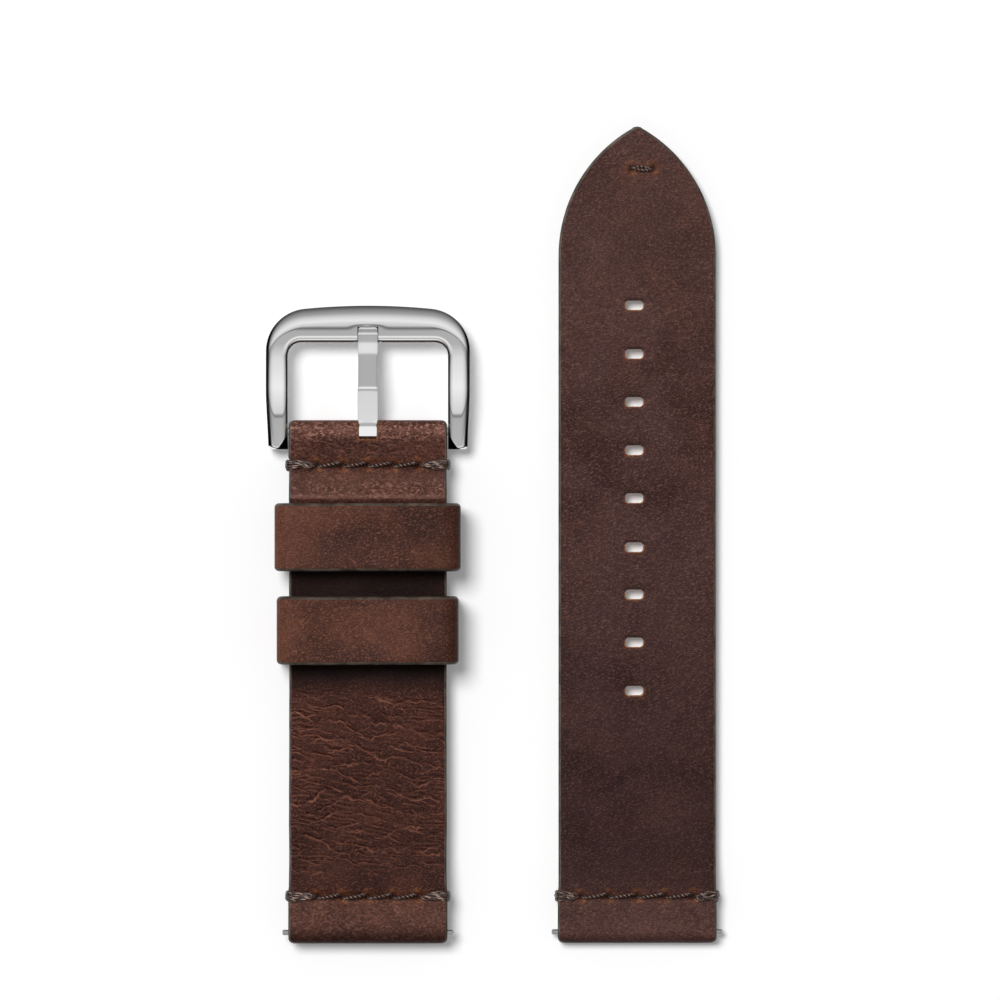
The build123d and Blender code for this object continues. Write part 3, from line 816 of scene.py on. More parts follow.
def twisted_strand(bm, points, ply_radius, twist, start_turn=0.0, plies=2):
    """Thin plies laid round each other along a smooth line, with the upper and lower side of each ply
    marked as its crest.
    """
    path = smooth_path(points, thread_pitch)
    crest = bm.verts.layers.float.get("crest") or bm.verts.layers.float.new("crest")
    sides = 7
    frames = []
    run = 0
    for index, point in enumerate(path):
        ahead = path[min(index + 1, len(path) - 1)]
        behind = path[max(index - 1, 0)]
        along = (ahead - behind).normalized()
        side = Vector((0, 1, 0))
        side = (side - along * side.dot(along)).normalized()
        frames.append((point, side, along.cross(side), run))
        run += (ahead - point).length
    for ply in range(plies):
        def place(column, row):
            point, side, up, length = frames[row]
            turn = 2 * pi * (length / twist + ply / plies) + start_turn
            ply_centre = point + (side * cos(turn) + up * sin(turn)) * ply_radius * 0.92
            around = 2 * pi * column / sides
            return ply_centre + (side * cos(around) + up * sin(around)) * ply_radius

        before = set(bm.verts)
        grid_tube(bm, sides, len(path) - 1, place)
        for vertex in bm.verts:
            if vertex not in before:
                middle = min(frames, key=lambda item: (item[0] - vertex.co).length_squared)[0]
                vertex[crest] = abs((vertex.co - middle).z) / (1.9 * ply_radius)
    close_ends(bm)


def waxed_thread():
    """Waxed linen: dark brown, a little glossy, with pale fibres and a painted highlight on the crests."""
    parts = blank_material("waxed_thread")
    tree = parts[1]
    fibre = noise_value(tree, millimetres(tree), 4.0, detail=4.0, roughness=0.7)
    colour = tint(tree, fade(tree, fibre, 0.38, 0.66), (0.026, 0.013, 0.010), (0.078, 0.042, 0.034))
    # The crests are the upper and lower sides of the plies; their pale colour is fibre and partly a painted
    # highlight.
    crest = fade(tree, stored(tree, "crest"), 0.72, 1.0)
    rubbed_and_lit = times(tree, crest, fade(tree, fibre, 0.35, 0.6, 0.2, 1.0))
    colour = tint(tree, rubbed_and_lit, colour, (0.40, 0.255, 0.20))
    return coat(parts, colour, fibre, 0.7, 0.03, roughness=0.34)


def seam_piece(cad_node, body, seam_y, holes, front_z, back_z, strands, seed):
    """A seam: slanted stitches between the holes, and a bunch of turns round each edge of the strap."""
    bm = bmesh.new()
    for index, (left, right) in enumerate(zip(holes, holes[1:])):
        jitter = stitch_jitter * wave(index, seed, 1.3 * mm, seed)
        stitch = [
            Vector((
                left + share * (right - left),
                seam_y + aside * stitch_lean + shown * jitter,
                front_z + up * mm,
            ))
            for share, aside, shown, up in (
                (0.02, -1, 0, -0.8),
                (0.08, -1, 0, -0.25),
                (0.28, -0.6, 1, 0.16),
                (0.60, 0.3, 1, 0.20),
                (0.84, 1, 0, -0.12),
                (0.92, 1, 0, -0.8),
            )
        ]
        twisted_strand(bm, stitch, thread_ply_radius, thread_twist, start_turn=seed + index)
        sunk = back_z + back_groove + 0.15 * mm
        back = [Vector((point.x, 2 * seam_y - point.y, sunk + front_z - point.z)) for point in stitch]
        twisted_strand(bm, back, thread_ply_radius, thread_twist, start_turn=seed - index)
    centre_x = (holes[0] + holes[-1]) / 2
    for side, hole in ((-1, holes[0]), (1, holes[-1])):
        edge = centre_x + side * strap_half
        for strand in range(strands):
            share = strand / (strands - 1) - 0.5
            spread = share * wrap_spread
            wander = wrap_wander * wave(strand + 5, side + seed, 1.7 * mm, seed)
            lift = 0.12 * mm * (1 - 4 * share * share) + 0.05 * mm * (strand % 2)
            reach = edge + side * (0.08 * mm + lift * 0.5)
            inside = hole + side * 0.25 * mm
            middle = (hole + edge) / 2
            top = front_z + 0.15 * mm + lift
            low = back_z + back_groove - 0.04 * mm
            loop = [
                Vector((inside, seam_y + spread * 0.15, front_z - 0.7 * mm)),
                Vector((inside + side * 0.15 * mm, seam_y + spread * 0.2, front_z - 0.2 * mm)),
                Vector((inside + side * 0.9 * mm, seam_y + spread * 0.45 + wander, top)),
                Vector((middle + side * 0.3 * mm, seam_y + spread * 0.85 - wander, top)),
                Vector((edge - side * 0.35 * mm, seam_y + spread + wander * 0.5, top - 0.1 * mm)),
                Vector((reach, seam_y + spread + wander * 0.5, front_z - 0.55 * mm)),
                Vector((reach, seam_y + spread * 0.9, back_z + 0.5 * mm)),
                Vector((edge - side * 0.4 * mm, seam_y + spread * 0.8, low)),
                Vector((middle, seam_y + spread * 0.5, low)),
                Vector((inside + side * 0.5 * mm, seam_y + spread * 0.2, low)),
                Vector((inside, seam_y + spread * 0.1, back_z + 0.5 * mm)),
            ]
            twist = thread_twist * (2.6 + 0.8 * (strand % 2))
            twisted_strand(bm, loop, wrap_ply_radius, twist, start_turn=2.1 * strand)
    piece = piece_from(bm, cad_node + "_twisted", body, [thread_finish], smooth_angle=60)
    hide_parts(cad_node)


def back_channel(piece, seam_y, back_z, left_x, right_x):
    """Cuts the channel in the back that the thread is sunk into, as a stitch groover does."""
    half = 0.62 * mm
    outline = [
        (seam_y - half, back_z - cut_over),
        (seam_y + half, back_z - cut_over),
        (seam_y + 0.6 * half, back_z + back_groove),
        (seam_y - 0.6 * half, back_z + back_groove),
    ]
    carve_bar(piece, outline, left_x, right_x, raw)


thread_finish = waxed_thread()
short_fold_top = lug_bar.z + fold_radius
for cad_node, seam_y, seed in (
    ("short_lug_seam_thread", lug_seam_y, 0.4),
    ("buckle_seam_thread", buckle_seam_y, 2.3),
):
    seam_piece(cad_node, "short_strap", seam_y, short_holes, short_fold_top, short_base, 5, seed)
    back_channel(short_front, seam_y, short_base, *short_sides)

# Keepers: two loops of the same leather with painted edges. The upper one is fixed, its thin band is
# held between the front leather and the buckle's flap. The lower one slides along the strap.
keeper_wall = 1.25 * mm
keeper_band = 0.6 * mm
keeper_corner = 1.9 * mm
keeper_inner_corner = 0.7 * mm
keeper_rim = 0.6 * mm
keeper_inner_rim = 0.08 * mm
keeper_bend = 5.0 * mm
keeper_bend_end = 12 * mm
keeper_leather = leather(
    "keeper_leather",
    deep=(0.036, 0.0140, 0.0110),
    base=(0.059, 0.0235, 0.0185),
    warm=(0.080, 0.0290, 0.0180),
    fleck=(0.260, 0.106, 0.066),
    pale=(0.150, 0.056, 0.034),
    creases=(0.0, 0.0),
    grain=(3.2, 6.2, 0.60, 0.09),
    gloss=0.38,
)


def keeper_piece(cad_node, body, bottom_wall, seed):
    """A closed leather loop round the strap, its long rims rounded and painted."""
    low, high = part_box(cad_node)
    centre = (low + high) / 2
    half_width = (high.x - low.x) / 2
    half_length = (high.y - low.y) / 2
    ring = slab_ring(40, 28)
    section = [(y, 0) for y in even_steps(keeper_rim - half_length, half_length - keeper_rim, 0.6 * mm)]
    arc = [radians(angle) for angle in (22.5, 45, 67.5, 90)]
    rim_share = keeper_rim / keeper_wall
    section += [(half_length - keeper_rim * (1 - sin(a)), rim_share * (1 - cos(a))) for a in arc]
    section += [(half_length, 0.65), (half_length, 0.92), (half_length - keeper_inner_rim, 1)]
    section += [(y, 1) for y in even_steps(half_length - 0.5 * mm, 0.5 * mm - half_length, 2 * mm)]
    section += [(keeper_inner_rim - half_length, 1), (-half_length, 0.92), (-half_length, 0.65)]
    section += [(keeper_rim * (1 - sin(a)) - half_length, rim_share * (1 - cos(a))) for a in reversed(arc)]

    def loop_point(column, half, bottom, top, radius):
        across, out, up, level = ring[column]
        x = across * (half - radius) + out * radius
        upper = top - radius + up * radius
        lower = bottom + radius - up * radius
        return Vector((x, 0, upper * level + lower * (1 - level)))

    def place(column, row):
        y, depth = section[row]
        outer = loop_point(column, half_width, low.z, high.z, keeper_corner)
        inner = loop_point(
            column, half_width - keeper_wall, low.z + bottom_wall, high.z - keeper_wall, keeper_inner_corner
        )
        point = outer.lerp(inner, depth)
        upper = smooth_step(low.z + 1.5 * mm, high.z, point.z)
        point.z += upper * 0.10 * mm * wave(point.x, y, 0.14, seed)
        y += upper * 0.10 * mm * wave(point.x, seed, 0.11, seed + 4)
        return Vector((centre.x + point.x, centre.y + y, point.z))

    bm = bmesh.new()
    grid_tube(bm, len(ring), len(section), place, closed=True)
    for face in bm.faces:
        off = abs(face.calc_center_median().y - centre.y)
        face.material_index = 1 if off > half_length - keeper_rim * 0.6 else 0
    finishes = [keeper_leather, paint]
    piece = piece_from(bm, cad_node + "_loop", body, finishes, smooth_angle=50)

    # Pull-up paleness at the bends and in patches; the left side gets more than the right as a painted
    # light.
    def pale_and_lit_at(x, y, z):
        left_bend = smooth_step(keeper_bend, keeper_bend_end, centre.x - x)
        right_bend = smooth_step(keeper_bend + 2 * mm, keeper_bend_end, x - centre.x)
        patch = smooth_step(0, 0.6, wave(x, y, 0.12, seed))
        return min(0.75 * left_bend + 0.25 * right_bend + 0.5 * patch, 1)

    store(piece, "pull_up_and_painted_light", pale_and_lit_at)
    # Painted shade on the keeper's right side.
    store(
        piece, "sunk", lambda x, y, z: 0.28 * smooth_step(keeper_bend, keeper_bend_end, x - centre.x)
    )
    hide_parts(cad_node)


keeper_piece("fixed_keeper", "short_strap", keeper_band, 0.9)
keeper_piece("floating_keeper", "floating_keeper", keeper_wall, 5.2)

# Long half: the same leather with a pointed tip, folded round its spring bar, with nine slots punched
# through both layers. Its cut edges are painted, the punched ones are left raw.
long_low, long_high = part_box("long_front_leather")
long_bar_low, long_bar_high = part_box("long_lug_bar_tube")
long_lining_low, long_lining_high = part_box("long_lining")
long_bar = (long_bar_low + long_bar_high) / 2
long_x = long_bar.x
long_layer = long_lining_high.z
long_body = long_layer + front_thickness
long_hole_pitch = 3.9 * mm
long_seam_y = long_low.y + 6.6 * mm
long_holes = [long_x + (index - stitches / 2) * long_hole_pitch for index in range(stitches + 1)]
tip_arc_radius = 20.3 * mm
tip_round = 1.3 * mm
slot_pitch = 6.7 * mm
slot_half_length = 1.25 * mm
slot_half_width = 0.66 * mm
slot_corner = 0.5 * mm
slot_rim = 0.14 * mm
slot_turns = 32
slot_x = long_x - 0.40 * mm
first_slot_y = long_high.y - 24.55 * mm
hand_shifts = [0.2, 0.25, 0.2, 0.2, 0.15, 0.25, 0.1, 0.05, 0.05]
slot_places = [first_slot_y - index * slot_pitch - shift * mm for index, shift in enumerate(hand_shifts)]
tack_x = long_x + 0.7 * mm
tack_y = long_high.y - 5.8 * mm
tack_half = 1.5 * mm

arch_centre = strap_half - tip_arc_radius
arch_run = sqrt((tip_arc_radius - tip_round) ** 2 - arch_centre**2)
shoulder_y = long_high.y - tip_round - arch_run
round_centre_y = shoulder_y + arch_run
round_start_y = round_centre_y + tip_round * arch_run / (tip_arc_radius - tip_round)


def long_half_width(y):
    """Half width of the long half: straight sides, an arch at the tip, and a small round at its top."""
    if y > round_start_y:
        return max(half_circle(y - round_centre_y, tip_round), 0.15 * mm)
    if y > shoulder_y:
        return arch_centre + half_circle(y - shoulder_y, tip_arc_radius) - body_narrowing
    return rounded_corner(strap_half - narrowed(y), y - long_low.y)


def tip_drop(y):
    """How far the rounded rim lowers the front right at the tip."""
    end = long_high.y - y
    return edge_radius - half_circle(edge_radius - end, edge_radius) if end < edge_radius else 0


def long_top(y):
    """Height of the long half's front."""
    return lug_top(y, long_bar, long_body) - tip_drop(y)


def long_bottom(y):
    """Height of the long front leather's back, with the flap at the lug end."""
    if y < long_bar.y:
        return long_bar.z - half_circle(long_bar.y - y, fold_radius)
    return 0 if y < long_lining_low.y else long_layer


def slot_distance(x, y):
    """How far a point lies outside the rim of the nearest slot, and how far above the slot's middle."""
    above = y - min(slot_places, key=lambda place: abs(y - place))
    out_x = max(abs(x - slot_x) - slot_half_length + slot_corner, 0)
    out_y = max(abs(above) - slot_half_width + slot_corner, 0)
    return max(hypot(out_x, out_y) - slot_corner, 0), above


def long_relief(x, y):
    """Relief of the long half's front: its seam, the tack, rims drawn in by the punch, and soft waves."""
    relief = seam_relief(x, y, long_x, long_seam_y, long_holes)
    relief += 0.04 * mm * wave(x, y, 0.13, 8.4)
    if abs(y - tack_y) < seam_zone:
        away = x - (tack_x - long_x)
        for end in (-tack_half, tack_half):
            relief -= 0.35 * mm * bell(hypot(away - end, y - tack_y), 0.45 * mm)
        relief -= 0.08 * mm * bell(away, 2.0 * mm) * bell(y - tack_y, 0.6 * mm)
    outside, above = slot_distance(long_x + x, y)
    return relief - 0.07 * mm * bell(outside, 0.6 * mm)


long_leather = leather(
    "long_half_leather",
    deep=(0.034, 0.0135, 0.0118),
    base=(0.059, 0.0265, 0.0245),
    warm=(0.072, 0.0285, 0.0225),
    fleck=(0.230, 0.112, 0.084),
    pale=(0.125, 0.060, 0.046),
    creases=(0.35, 0.05),
    grain=(3.0, 6.4, 0.52, 0.09),
    gloss=0.40,
)
tip_run = 2 * mm
tip_steps = (0.004, 0.03, 0.08, 0.15, 0.24, 0.35, 0.5, 0.7, 0.95, 1.25, 1.6)
tip_stations = [long_high.y - step * mm for step in reversed(tip_steps)]
long_stations = fold_steps(long_bar.y, fold_radius, -1)
long_stations += even_steps(long_bar.y, long_seam_y - past_seam, plain_pitch)
long_stations += even_steps(long_seam_y - seam_reach, long_seam_y + seam_reach, fine_pitch)
long_stations += even_steps(long_seam_y + past_seam, long_high.y - tip_run, plain_pitch)
long_stations += tip_stations
long_stations += [long_lining_low.y - nudge, long_lining_low.y + nudge]
long_stations.sort()
long_front = strap_piece(
    "long_front_leather_skin",
    "long_strap",
    [long_leather, paint, raw],
    long_x,
    long_stations,
    long_half_width,
    long_top,
    long_bottom,
    (edge_radius, glue_line_radius),
    long_relief,
    64,
)
long_sides = (long_x - strap_half - cut_over, long_x + strap_half + cut_over)
long_hollow = drop_outline(long_bar.y, long_bar.z, bore_radius, cavity_run)
carve_bar(long_front, long_hollow, *long_sides, raw)
long_lining = strap_piece(
    "long_lining_skin",
    "long_strap",
    [lining_leather, paint, raw],
    long_x,
    even_steps(long_lining_low.y + nudge, long_high.y - tip_run, lining_pitch) + tip_stations,
    long_half_width,
    lambda y: long_layer,
    lambda y: 0,
    (glue_line_radius, edge_radius),
    no_relief,
    24,
)


def slot_punches():
    """The nine slots as closed shapes with round corners, wider by a rim at the front and the back."""
    bm = bmesh.new()
    levels = (
        (-cut_over, slot_rim),
        (0, slot_rim),
        (slot_rim, 0),
        (long_body - 1.2 * slot_rim, 0),
        (long_body, slot_rim),
        (long_body + cut_over, slot_rim),
    )
    for y in slot_places:
        def place(column, row):
            z, grow = levels[row]
            turn = 2 * pi * (column + 0.5) / slot_turns
            x = copysign(slot_half_length - slot_corner, cos(turn)) + (slot_corner + grow) * cos(turn)
            rise = copysign(slot_half_width - slot_corner, sin(turn)) + (slot_corner + grow) * sin(turn)
            return Vector((slot_x + x, y + rise, z))

        grid_tube(bm, slot_turns, len(levels) - 1, place)
    close_ends(bm)
    return bm


punched = raw_edge("punched_edge", dark=(0.20, 0.075, 0.030), pale=(0.52, 0.27, 0.12))
# Painted shade: the slot walls on the tip side of each slot, which face the lug end, get the darker
# raw_edge finish; the others keep the pale punched finish.
for layer in (long_front, long_lining):
    carve(layer, slot_punches(), punched)
    names = [material.name for material in layer.data.materials]
    for face in layer.data.polygons:
        if names[face.material_index] == "punched_edge" and face.normal.y < -0.3:
            face.material_index = names.index("raw_edge")
long_seams = [(long_seam_y, long_holes), (tack_y, [tack_x - tack_half, tack_x + tack_half])]


def long_wear_and_light(x, y):
    """Tan with wear at the slots' ends and round the tack, and a painted light along the slots' lower rims.
    """
    outside, above = slot_distance(x, y)
    slot = 0.6 * bell(outside, 0.22 * mm) * (1 - smooth_step(0.1 * mm, slot_half_width, above))
    tack = bell(x - tack_x - 0.2 * mm, 1.6 * mm) * bell(y - tack_y - 0.35 * mm, 0.5 * mm)
    return max(slot, 0.5 * tack)


patch_y = 28 * mm
dark_low_y = -40 * mm
dark_high_y = 6 * mm
pale_low_y = 5 * mm
pale_high_y = 45 * mm


def long_painted_shade(x, y):
    """Painted shade above each slot and where it turns under round the bar, and darker towards the lug end.
    """
    outside, above = slot_distance(x, y)
    slot = 0.85 * bell(outside, 0.26 * mm) * smooth_step(0.1 * mm, slot_half_width, above)
    low_end = 0.38 * (1 - smooth_step(dark_low_y, dark_high_y, y))
    low_end *= smooth_step(0, 1.2 * mm, y - long_seam_y)
    return max(slot, low_end, 0.5 * bell(y - long_low.y, 0.8 * mm))


def long_pale_and_lit(x, y):
    """Paler towards the tip as a painted sheen, at the lug end, and in a patch at the left edge."""
    lug = 1 - smooth_step(long_seam_y - 1 * mm, long_seam_y, y)
    patch = bell(x - long_x + strap_half, 2.5 * mm) * bell(y - patch_y, 2.5 * mm)
    return max(0.25 * smooth_step(pale_low_y, pale_high_y, y), 0.2 * lug, 0.5 * patch)


def long_creased(x, y):
    """Hardly creased: it has been bent least, and most round the pale patch."""
    return 0.16 + 0.2 * bell(y - patch_y, 8 * mm)


def long_wrinkled(x, y):
    """Fine crinkles where it turns round the bar."""
    return 0.25 * bell(y - long_low.y - 2.0 * mm, 1.2 * mm)


show_wear(long_front, long_seams, long_wear_and_light, long_painted_shade, long_pale_and_lit, long_creased, long_wrinkled)
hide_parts("long_front_leather")
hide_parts("long_lining")

# Stitching of the long half: the same thread in a seam above the lug fold, and one short tack that
# holds the two layers together at the tip.
long_fold_top = long_bar.z + fold_radius
seam_piece("long_lug_seam_thread", "long_strap", long_seam_y, long_holes, long_fold_top, 0, 3, 4.6)
back_channel(long_front, long_seam_y, 0, *long_sides)
tack_reach = tack_half + 0.3 * mm
tack_spread = 0.2 * mm
back_channel(long_lining, tack_y, 0, tack_x - tack_reach, tack_x + tack_reach)
tack_mesh = bmesh.new()
for offset_y, turn in ((tack_spread, 0.0), (-tack_spread, 1.9)):
    for front in (1, -1):
        level = long_body if front > 0 else back_groove + 0.1 * mm
        tack_points = [
            Vector((
                tack_x + share * tack_half,
                tack_y + aside * mm + shown * offset_y,
                level + front * up * mm,
            ))
            for share, aside, shown, up in (
                (-0.92, 0.14, 0, -0.8),
                (-0.85, 0.14, 0, -0.15),
                (-0.35, 0.05, 1, 0.18),
                (0.30, -0.08, 1, 0.16),
                (0.80, -0.2, 0, -0.2),
                (0.90, -0.2, 0, -0.8),
            )
        ]
        twisted_strand(tack_mesh, tack_points, thread_ply_radius * 0.85, thread_twist, start_turn=turn)
tack = piece_from(
    tack_mesh, "tip_tack_thread_twisted", "long_strap", [thread_finish], smooth_angle=60
)
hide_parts("tip_tack_thread")

# Spring bars: a turned steel tube crimped over two sprung plungers, one bar in each fold. Only the
# plungers' tips show beside the leather.
bar_names = ("short_lug_bar", "long_lug_bar", "buckle_bar")


def steel(name, tone, roughness, scratch):
    """Polished steel with faint hairlines left by the buffing wheel, dark in hollows marked as shaded."""
    parts = blank_material(name)
    tree, shader = parts[1:]
    place = millimetres(tree)
    hair = vector(tree, "MULTIPLY", place, (0.8, 14.0, 14.0))
    hairline = noise_value(tree, hair, 1.0, detail=3.0, roughness=0.6)
    smudge = noise_value(tree, place, 0.35, detail=3.0)
    rough = fade(tree, smudge, 0.35, 0.7, roughness, roughness * 1.6)
    tree.links.new(rough, shader.inputs["Roughness"])
    shader.inputs["Metallic"].default_value = 1
    colour = tint(tree, stored(tree, "shaded"), tone, (0.02, 0.012, 0.009))
    return coat(parts, colour, hairline, scratch, 0.01, roughness)


bar_steel = steel("bar_steel", (0.44, 0.44, 0.45), 0.16, 0.25)
spring_steel = steel("spring_steel", (0.45, 0.45, 0.46), 0.25, 0.1)
bar_parts = []
for bar_name in bar_names:
    for part_name in ("tube", "left_plunger", "right_plunger", "spring"):
        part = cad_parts[f"{bar_name}_{part_name}"]
        finish = spring_steel if part_name == "spring" else bar_steel
        part.data.materials.clear()
        part.data.materials.append(finish)
        bar_parts.append(part)

# Buckle frame: a U of polished stainless steel, bent to the wrist and domed on its front, with a
# shallow seat that takes the tongue's tip. The buckle's spring bar sits between the ends of its arms.
frame_half = 14.1 * mm
window_half = 11.1 * mm
window_top = 12.3 * mm
frame_top = 17.0 * mm
frame_bow = 0.4 * mm
arm_reach = 2.5 * mm
frame_thickness = 2.4 * mm
curve_radius = 28.0 * mm
frame_corner = 5.9 * mm
window_corner = 1.9 * mm
arm_taper = 0.3 * mm
taper_end_y = 6 * mm
hollow_width = 1.6 * mm
hollow_length = 2.15 * mm
hollow_depth = 1.15 * mm
arm_rim_slope = 0.86
outer_rim_slope = 0.44
inner_rim_slope = 1.25
end_slope = 0.45
end_corner = 0.5 * mm
dome_power = 2.3
swell_low = 13.8 * mm
swell_high = 15.0 * mm
swell_half = 2.1 * mm
swell_height = 0.022 * mm
frame_smooth_deg = 35
back_round = 0.3 * mm
arm_steps = 80
corner_steps = 24
head_steps = 28
dome_steps = 12
middle_steps = 9
# The dome's width and drop, and the width of its steep rim, first at the arms and then at the top.
outer_dome = ((1.15 * mm, 2.5 * mm), (0.33 * mm, 0.36 * mm), (0.25 * mm, 0.28 * mm))
inner_dome = ((0.85 * mm, 1.0 * mm), (0.20 * mm, 0.27 * mm), (0.21 * mm, 0.26 * mm))
polished_steel = steel("polished_steel", (0.90, 0.90, 0.90), 0.03, 0.01)

curve_end_y = frame_top + frame_bow
back_radius = curve_radius - frame_thickness / 2
curve_span = hypot(curve_end_y, buckle_bar.z)
curve_along = (curve_radius**2 - back_radius**2 + curve_span**2) / (2 * curve_span)
curve_below = sqrt(curve_radius**2 - curve_along**2)
curve_y = (curve_along * curve_end_y - curve_below * buckle_bar.z) / curve_span
curve_z = buckle_bar.z - (curve_along * buckle_bar.z + curve_below * curve_end_y) / curve_span


def frame_contour():
    """Pairs of outer and inner plan points round the U, from the left arm's end to the right one's."""
    left = []
    outer_y, inner_y = frame_top - frame_corner, window_top - window_corner
    for index in range(arm_steps + 1):
        share = index / arm_steps
        share = 0.45 * share + 0.55 * share**2
        outer = (-frame_half, -arm_reach + share * (outer_y + arm_reach))
        inner = (-window_half, -arm_reach + share * (inner_y + arm_reach))
        left.append((outer, inner))
    for index in range(1, corner_steps + 1):
        share = index / corner_steps
        turn = pi - (pi / 2 - bow_start) * share
        inner_turn = pi - pi / 2 * share
        outer = (
            frame_corner - frame_half + frame_corner * cos(turn),
            outer_y + frame_corner * sin(turn),
        )
        inner = (
            window_corner - window_half + window_corner * cos(inner_turn),
            inner_y + window_corner * sin(inner_turn),
        )
        left.append((outer, inner))
    (outer_x, outer_low), inner_end = left[-1]
    rise = -outer_x * sin(bow_start) / cos(bow_start) / 2
    for index in range(1, head_steps + 1):
        away = 1 - index / head_steps
        outer = (outer_x * away, outer_low + rise * (1 - away**2))
        left.append((outer, (inner_end[0] * away, window_top)))
    right = [((-outer[0], outer[1]), (-inner[0], inner[1])) for outer, inner in reversed(left[:-1])]
    return left + right


bow_start = 2 * frame_bow / (frame_half - frame_corner)
contour = frame_contour()
back_turns = [index * pi / 6 for index in range(4)]
section = [("outer rim", 0)]
section += [("outer dome", index / dome_steps) for index in range(dome_steps + 1)]
section += [("middle", index / middle_steps) for index in range(1, middle_steps)]
section += [("inner dome", index / dome_steps) for index in range(dome_steps, -1, -1)]
section += [("inner rim", 0)]
section += [("inner back", turn) for turn in back_turns]
section += [("outer back", turn) for turn in reversed(back_turns)]


def hollow_share(x, y):
    """How deep a place lies in the hollow at the inner corner of an arm's end, from 0 to 1."""
    return max(1 - (abs(x) - window_half) / hollow_width - (y + arm_reach) / hollow_length, 0)


def frame_point(column, row):
    """Where a point of the section lies at a station of the contour."""
    part, share = section[column]
    outer, inner = Vector((*contour[row][0], 0)), Vector((*contour[row][1], 0))
    step = (inner - outer).normalized()
    top = smooth_step(frame_top - frame_corner, frame_top, outer.y)
    outer_sizes, inner_sizes = (
        [arm + (head - arm) * top for arm, head in dome] for dome in (outer_dome, inner_dome)
    )
    front = not part.endswith("back")
    drop = 0
    if part == "middle":
        flat = (outer + step * outer_sizes[0]).lerp(inner - step * inner_sizes[0], share)
    else:
        edge, toward, sizes, head_slope = (outer, step, outer_sizes, outer_rim_slope)
        if part.startswith("inner"):
            edge, toward, sizes, head_slope = (inner, -step, inner_sizes, inner_rim_slope)
        width, fall, rim = sizes
        across = rim + (width - rim) * share
        drop = fall * (1 - share) ** dome_power
        if part.endswith("rim"):
            across = 0
            drop += (arm_rim_slope + (head_slope - arm_rim_slope) * top) * rim
        if not front:
            across = back_round * (1 - cos(share))
        flat = edge + toward * across
    from_end = flat.y + arm_reach
    if front:
        corner = hollow_share(flat.x, flat.y)
        drop += hollow_depth * smooth_step(0, 0.25, corner) * corner
        drop += end_slope * max(outer_sizes[2] - from_end, 0)
        swell = smooth_step(swell_low, swell_high, flat.y) * exp(-((flat.x / swell_half) ** 4))
        drop -= swell_height * swell
    else:
        drop = back_round * (1 - sin(share))
    inward = arm_taper * (1 - smooth_step(-arm_reach, taper_end_y, flat.y))
    if from_end < end_corner:
        inward += end_corner - half_circle(end_corner - max(from_end, 0), end_corner)
    flat.x *= 1 - inward / frame_half * smooth_step(window_half, frame_half, abs(flat.x))
    radius = curve_radius + frame_thickness / 2 if front else back_radius
    z = curve_z + half_circle(flat.y - curve_y, radius)
    z += -drop if front else drop
    return Vector((short_x + flat.x, buckle_bar.y + flat.y, z))


frame_mesh = bmesh.new()
grid_tube(frame_mesh, len(section), len(contour) - 1, frame_point)
close_ends(frame_mesh)
buckle_frame = piece_from(
    frame_mesh, "buckle_frame_polished", "buckle", [polished_steel], frame_smooth_deg
)
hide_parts("buckle_frame")

# Buckle tongue: a bent steel strip with an eye rolled round the bar. It rises over the strap's fold,
# falls to the frame and rests with its thinned tip in the seat.
tongue_half = 1.35 * mm
tongue_thickness = 1.05 * mm
tongue_chamfer = 0.13 * mm
eye_half = 1.22 * mm
eye_bore = 0.79 * mm
eye_wall = 0.5 * mm
tongue_rise = 2.2 * mm
seat_depth = 0.55 * mm
seat_gap = 0.06 * mm
tip_thickness = 0.88 * mm
tip_corner = 0.3 * mm
bend_run = 0.5 * mm
tongue_swell = 0.04 * mm
tongue_waist = 0.09 * mm
root_low = 1.0 * mm
root_high = 1.6 * mm
tongue_bends = {
    "start": 0.6 * mm,
    "root": 0.8 * mm,
    "crest": 5.9 * mm,
    "shoulder": 10.7 * mm,
    "middle": 12.3 * mm,
    "tip_bend": 13.55 * mm,
    "tip": 14.4 * mm,
}
tongue_falls = {"middle": 0.14 * mm, "tip_bend": 0.45 * mm, "tip": 0.78 * mm}


def frame_front(y):
    """Height of the frame's bent front at a distance from the bar."""
    return curve_z + half_circle(y - curve_y, curve_radius + frame_thickness / 2)


seat_z = frame_front(tongue_bends["tip_bend"]) - seat_depth + seat_gap
tongue_line = [
    (tongue_bends["start"], buckle_bar.z),
    (tongue_bends["root"], buckle_bar.z),
    (tongue_bends["crest"], buckle_bar.z + tongue_rise - tongue_thickness / 2),
    (tongue_bends["shoulder"], seat_z),
]
tongue_line += [(tongue_bends[bend], seat_z - fall) for bend, fall in tongue_falls.items()]


def tongue_under(y):
    """Height of the tongue's underside, with its bends a little rounded."""
    def straight(at):
        for (y0, z0), (y1, z1) in zip(tongue_line, tongue_line[1:]):
            if at <= y1:
                return z0 + (z1 - z0) * (at - y0) / (y1 - y0)
        return tongue_line[-1][1]

    soft = 0.3 * mm
    return sum(straight(y + soft * offset / 5) for offset in range(-5, 6)) / 11


def tongue_depth(y):
    """Thickness of the strip, thinned at the tip."""
    share = smooth_step(tongue_bends["tip_bend"] - 0.2 * mm, tongue_bends["tip"], y)
    return tongue_thickness + (tip_thickness - tongue_thickness) * share


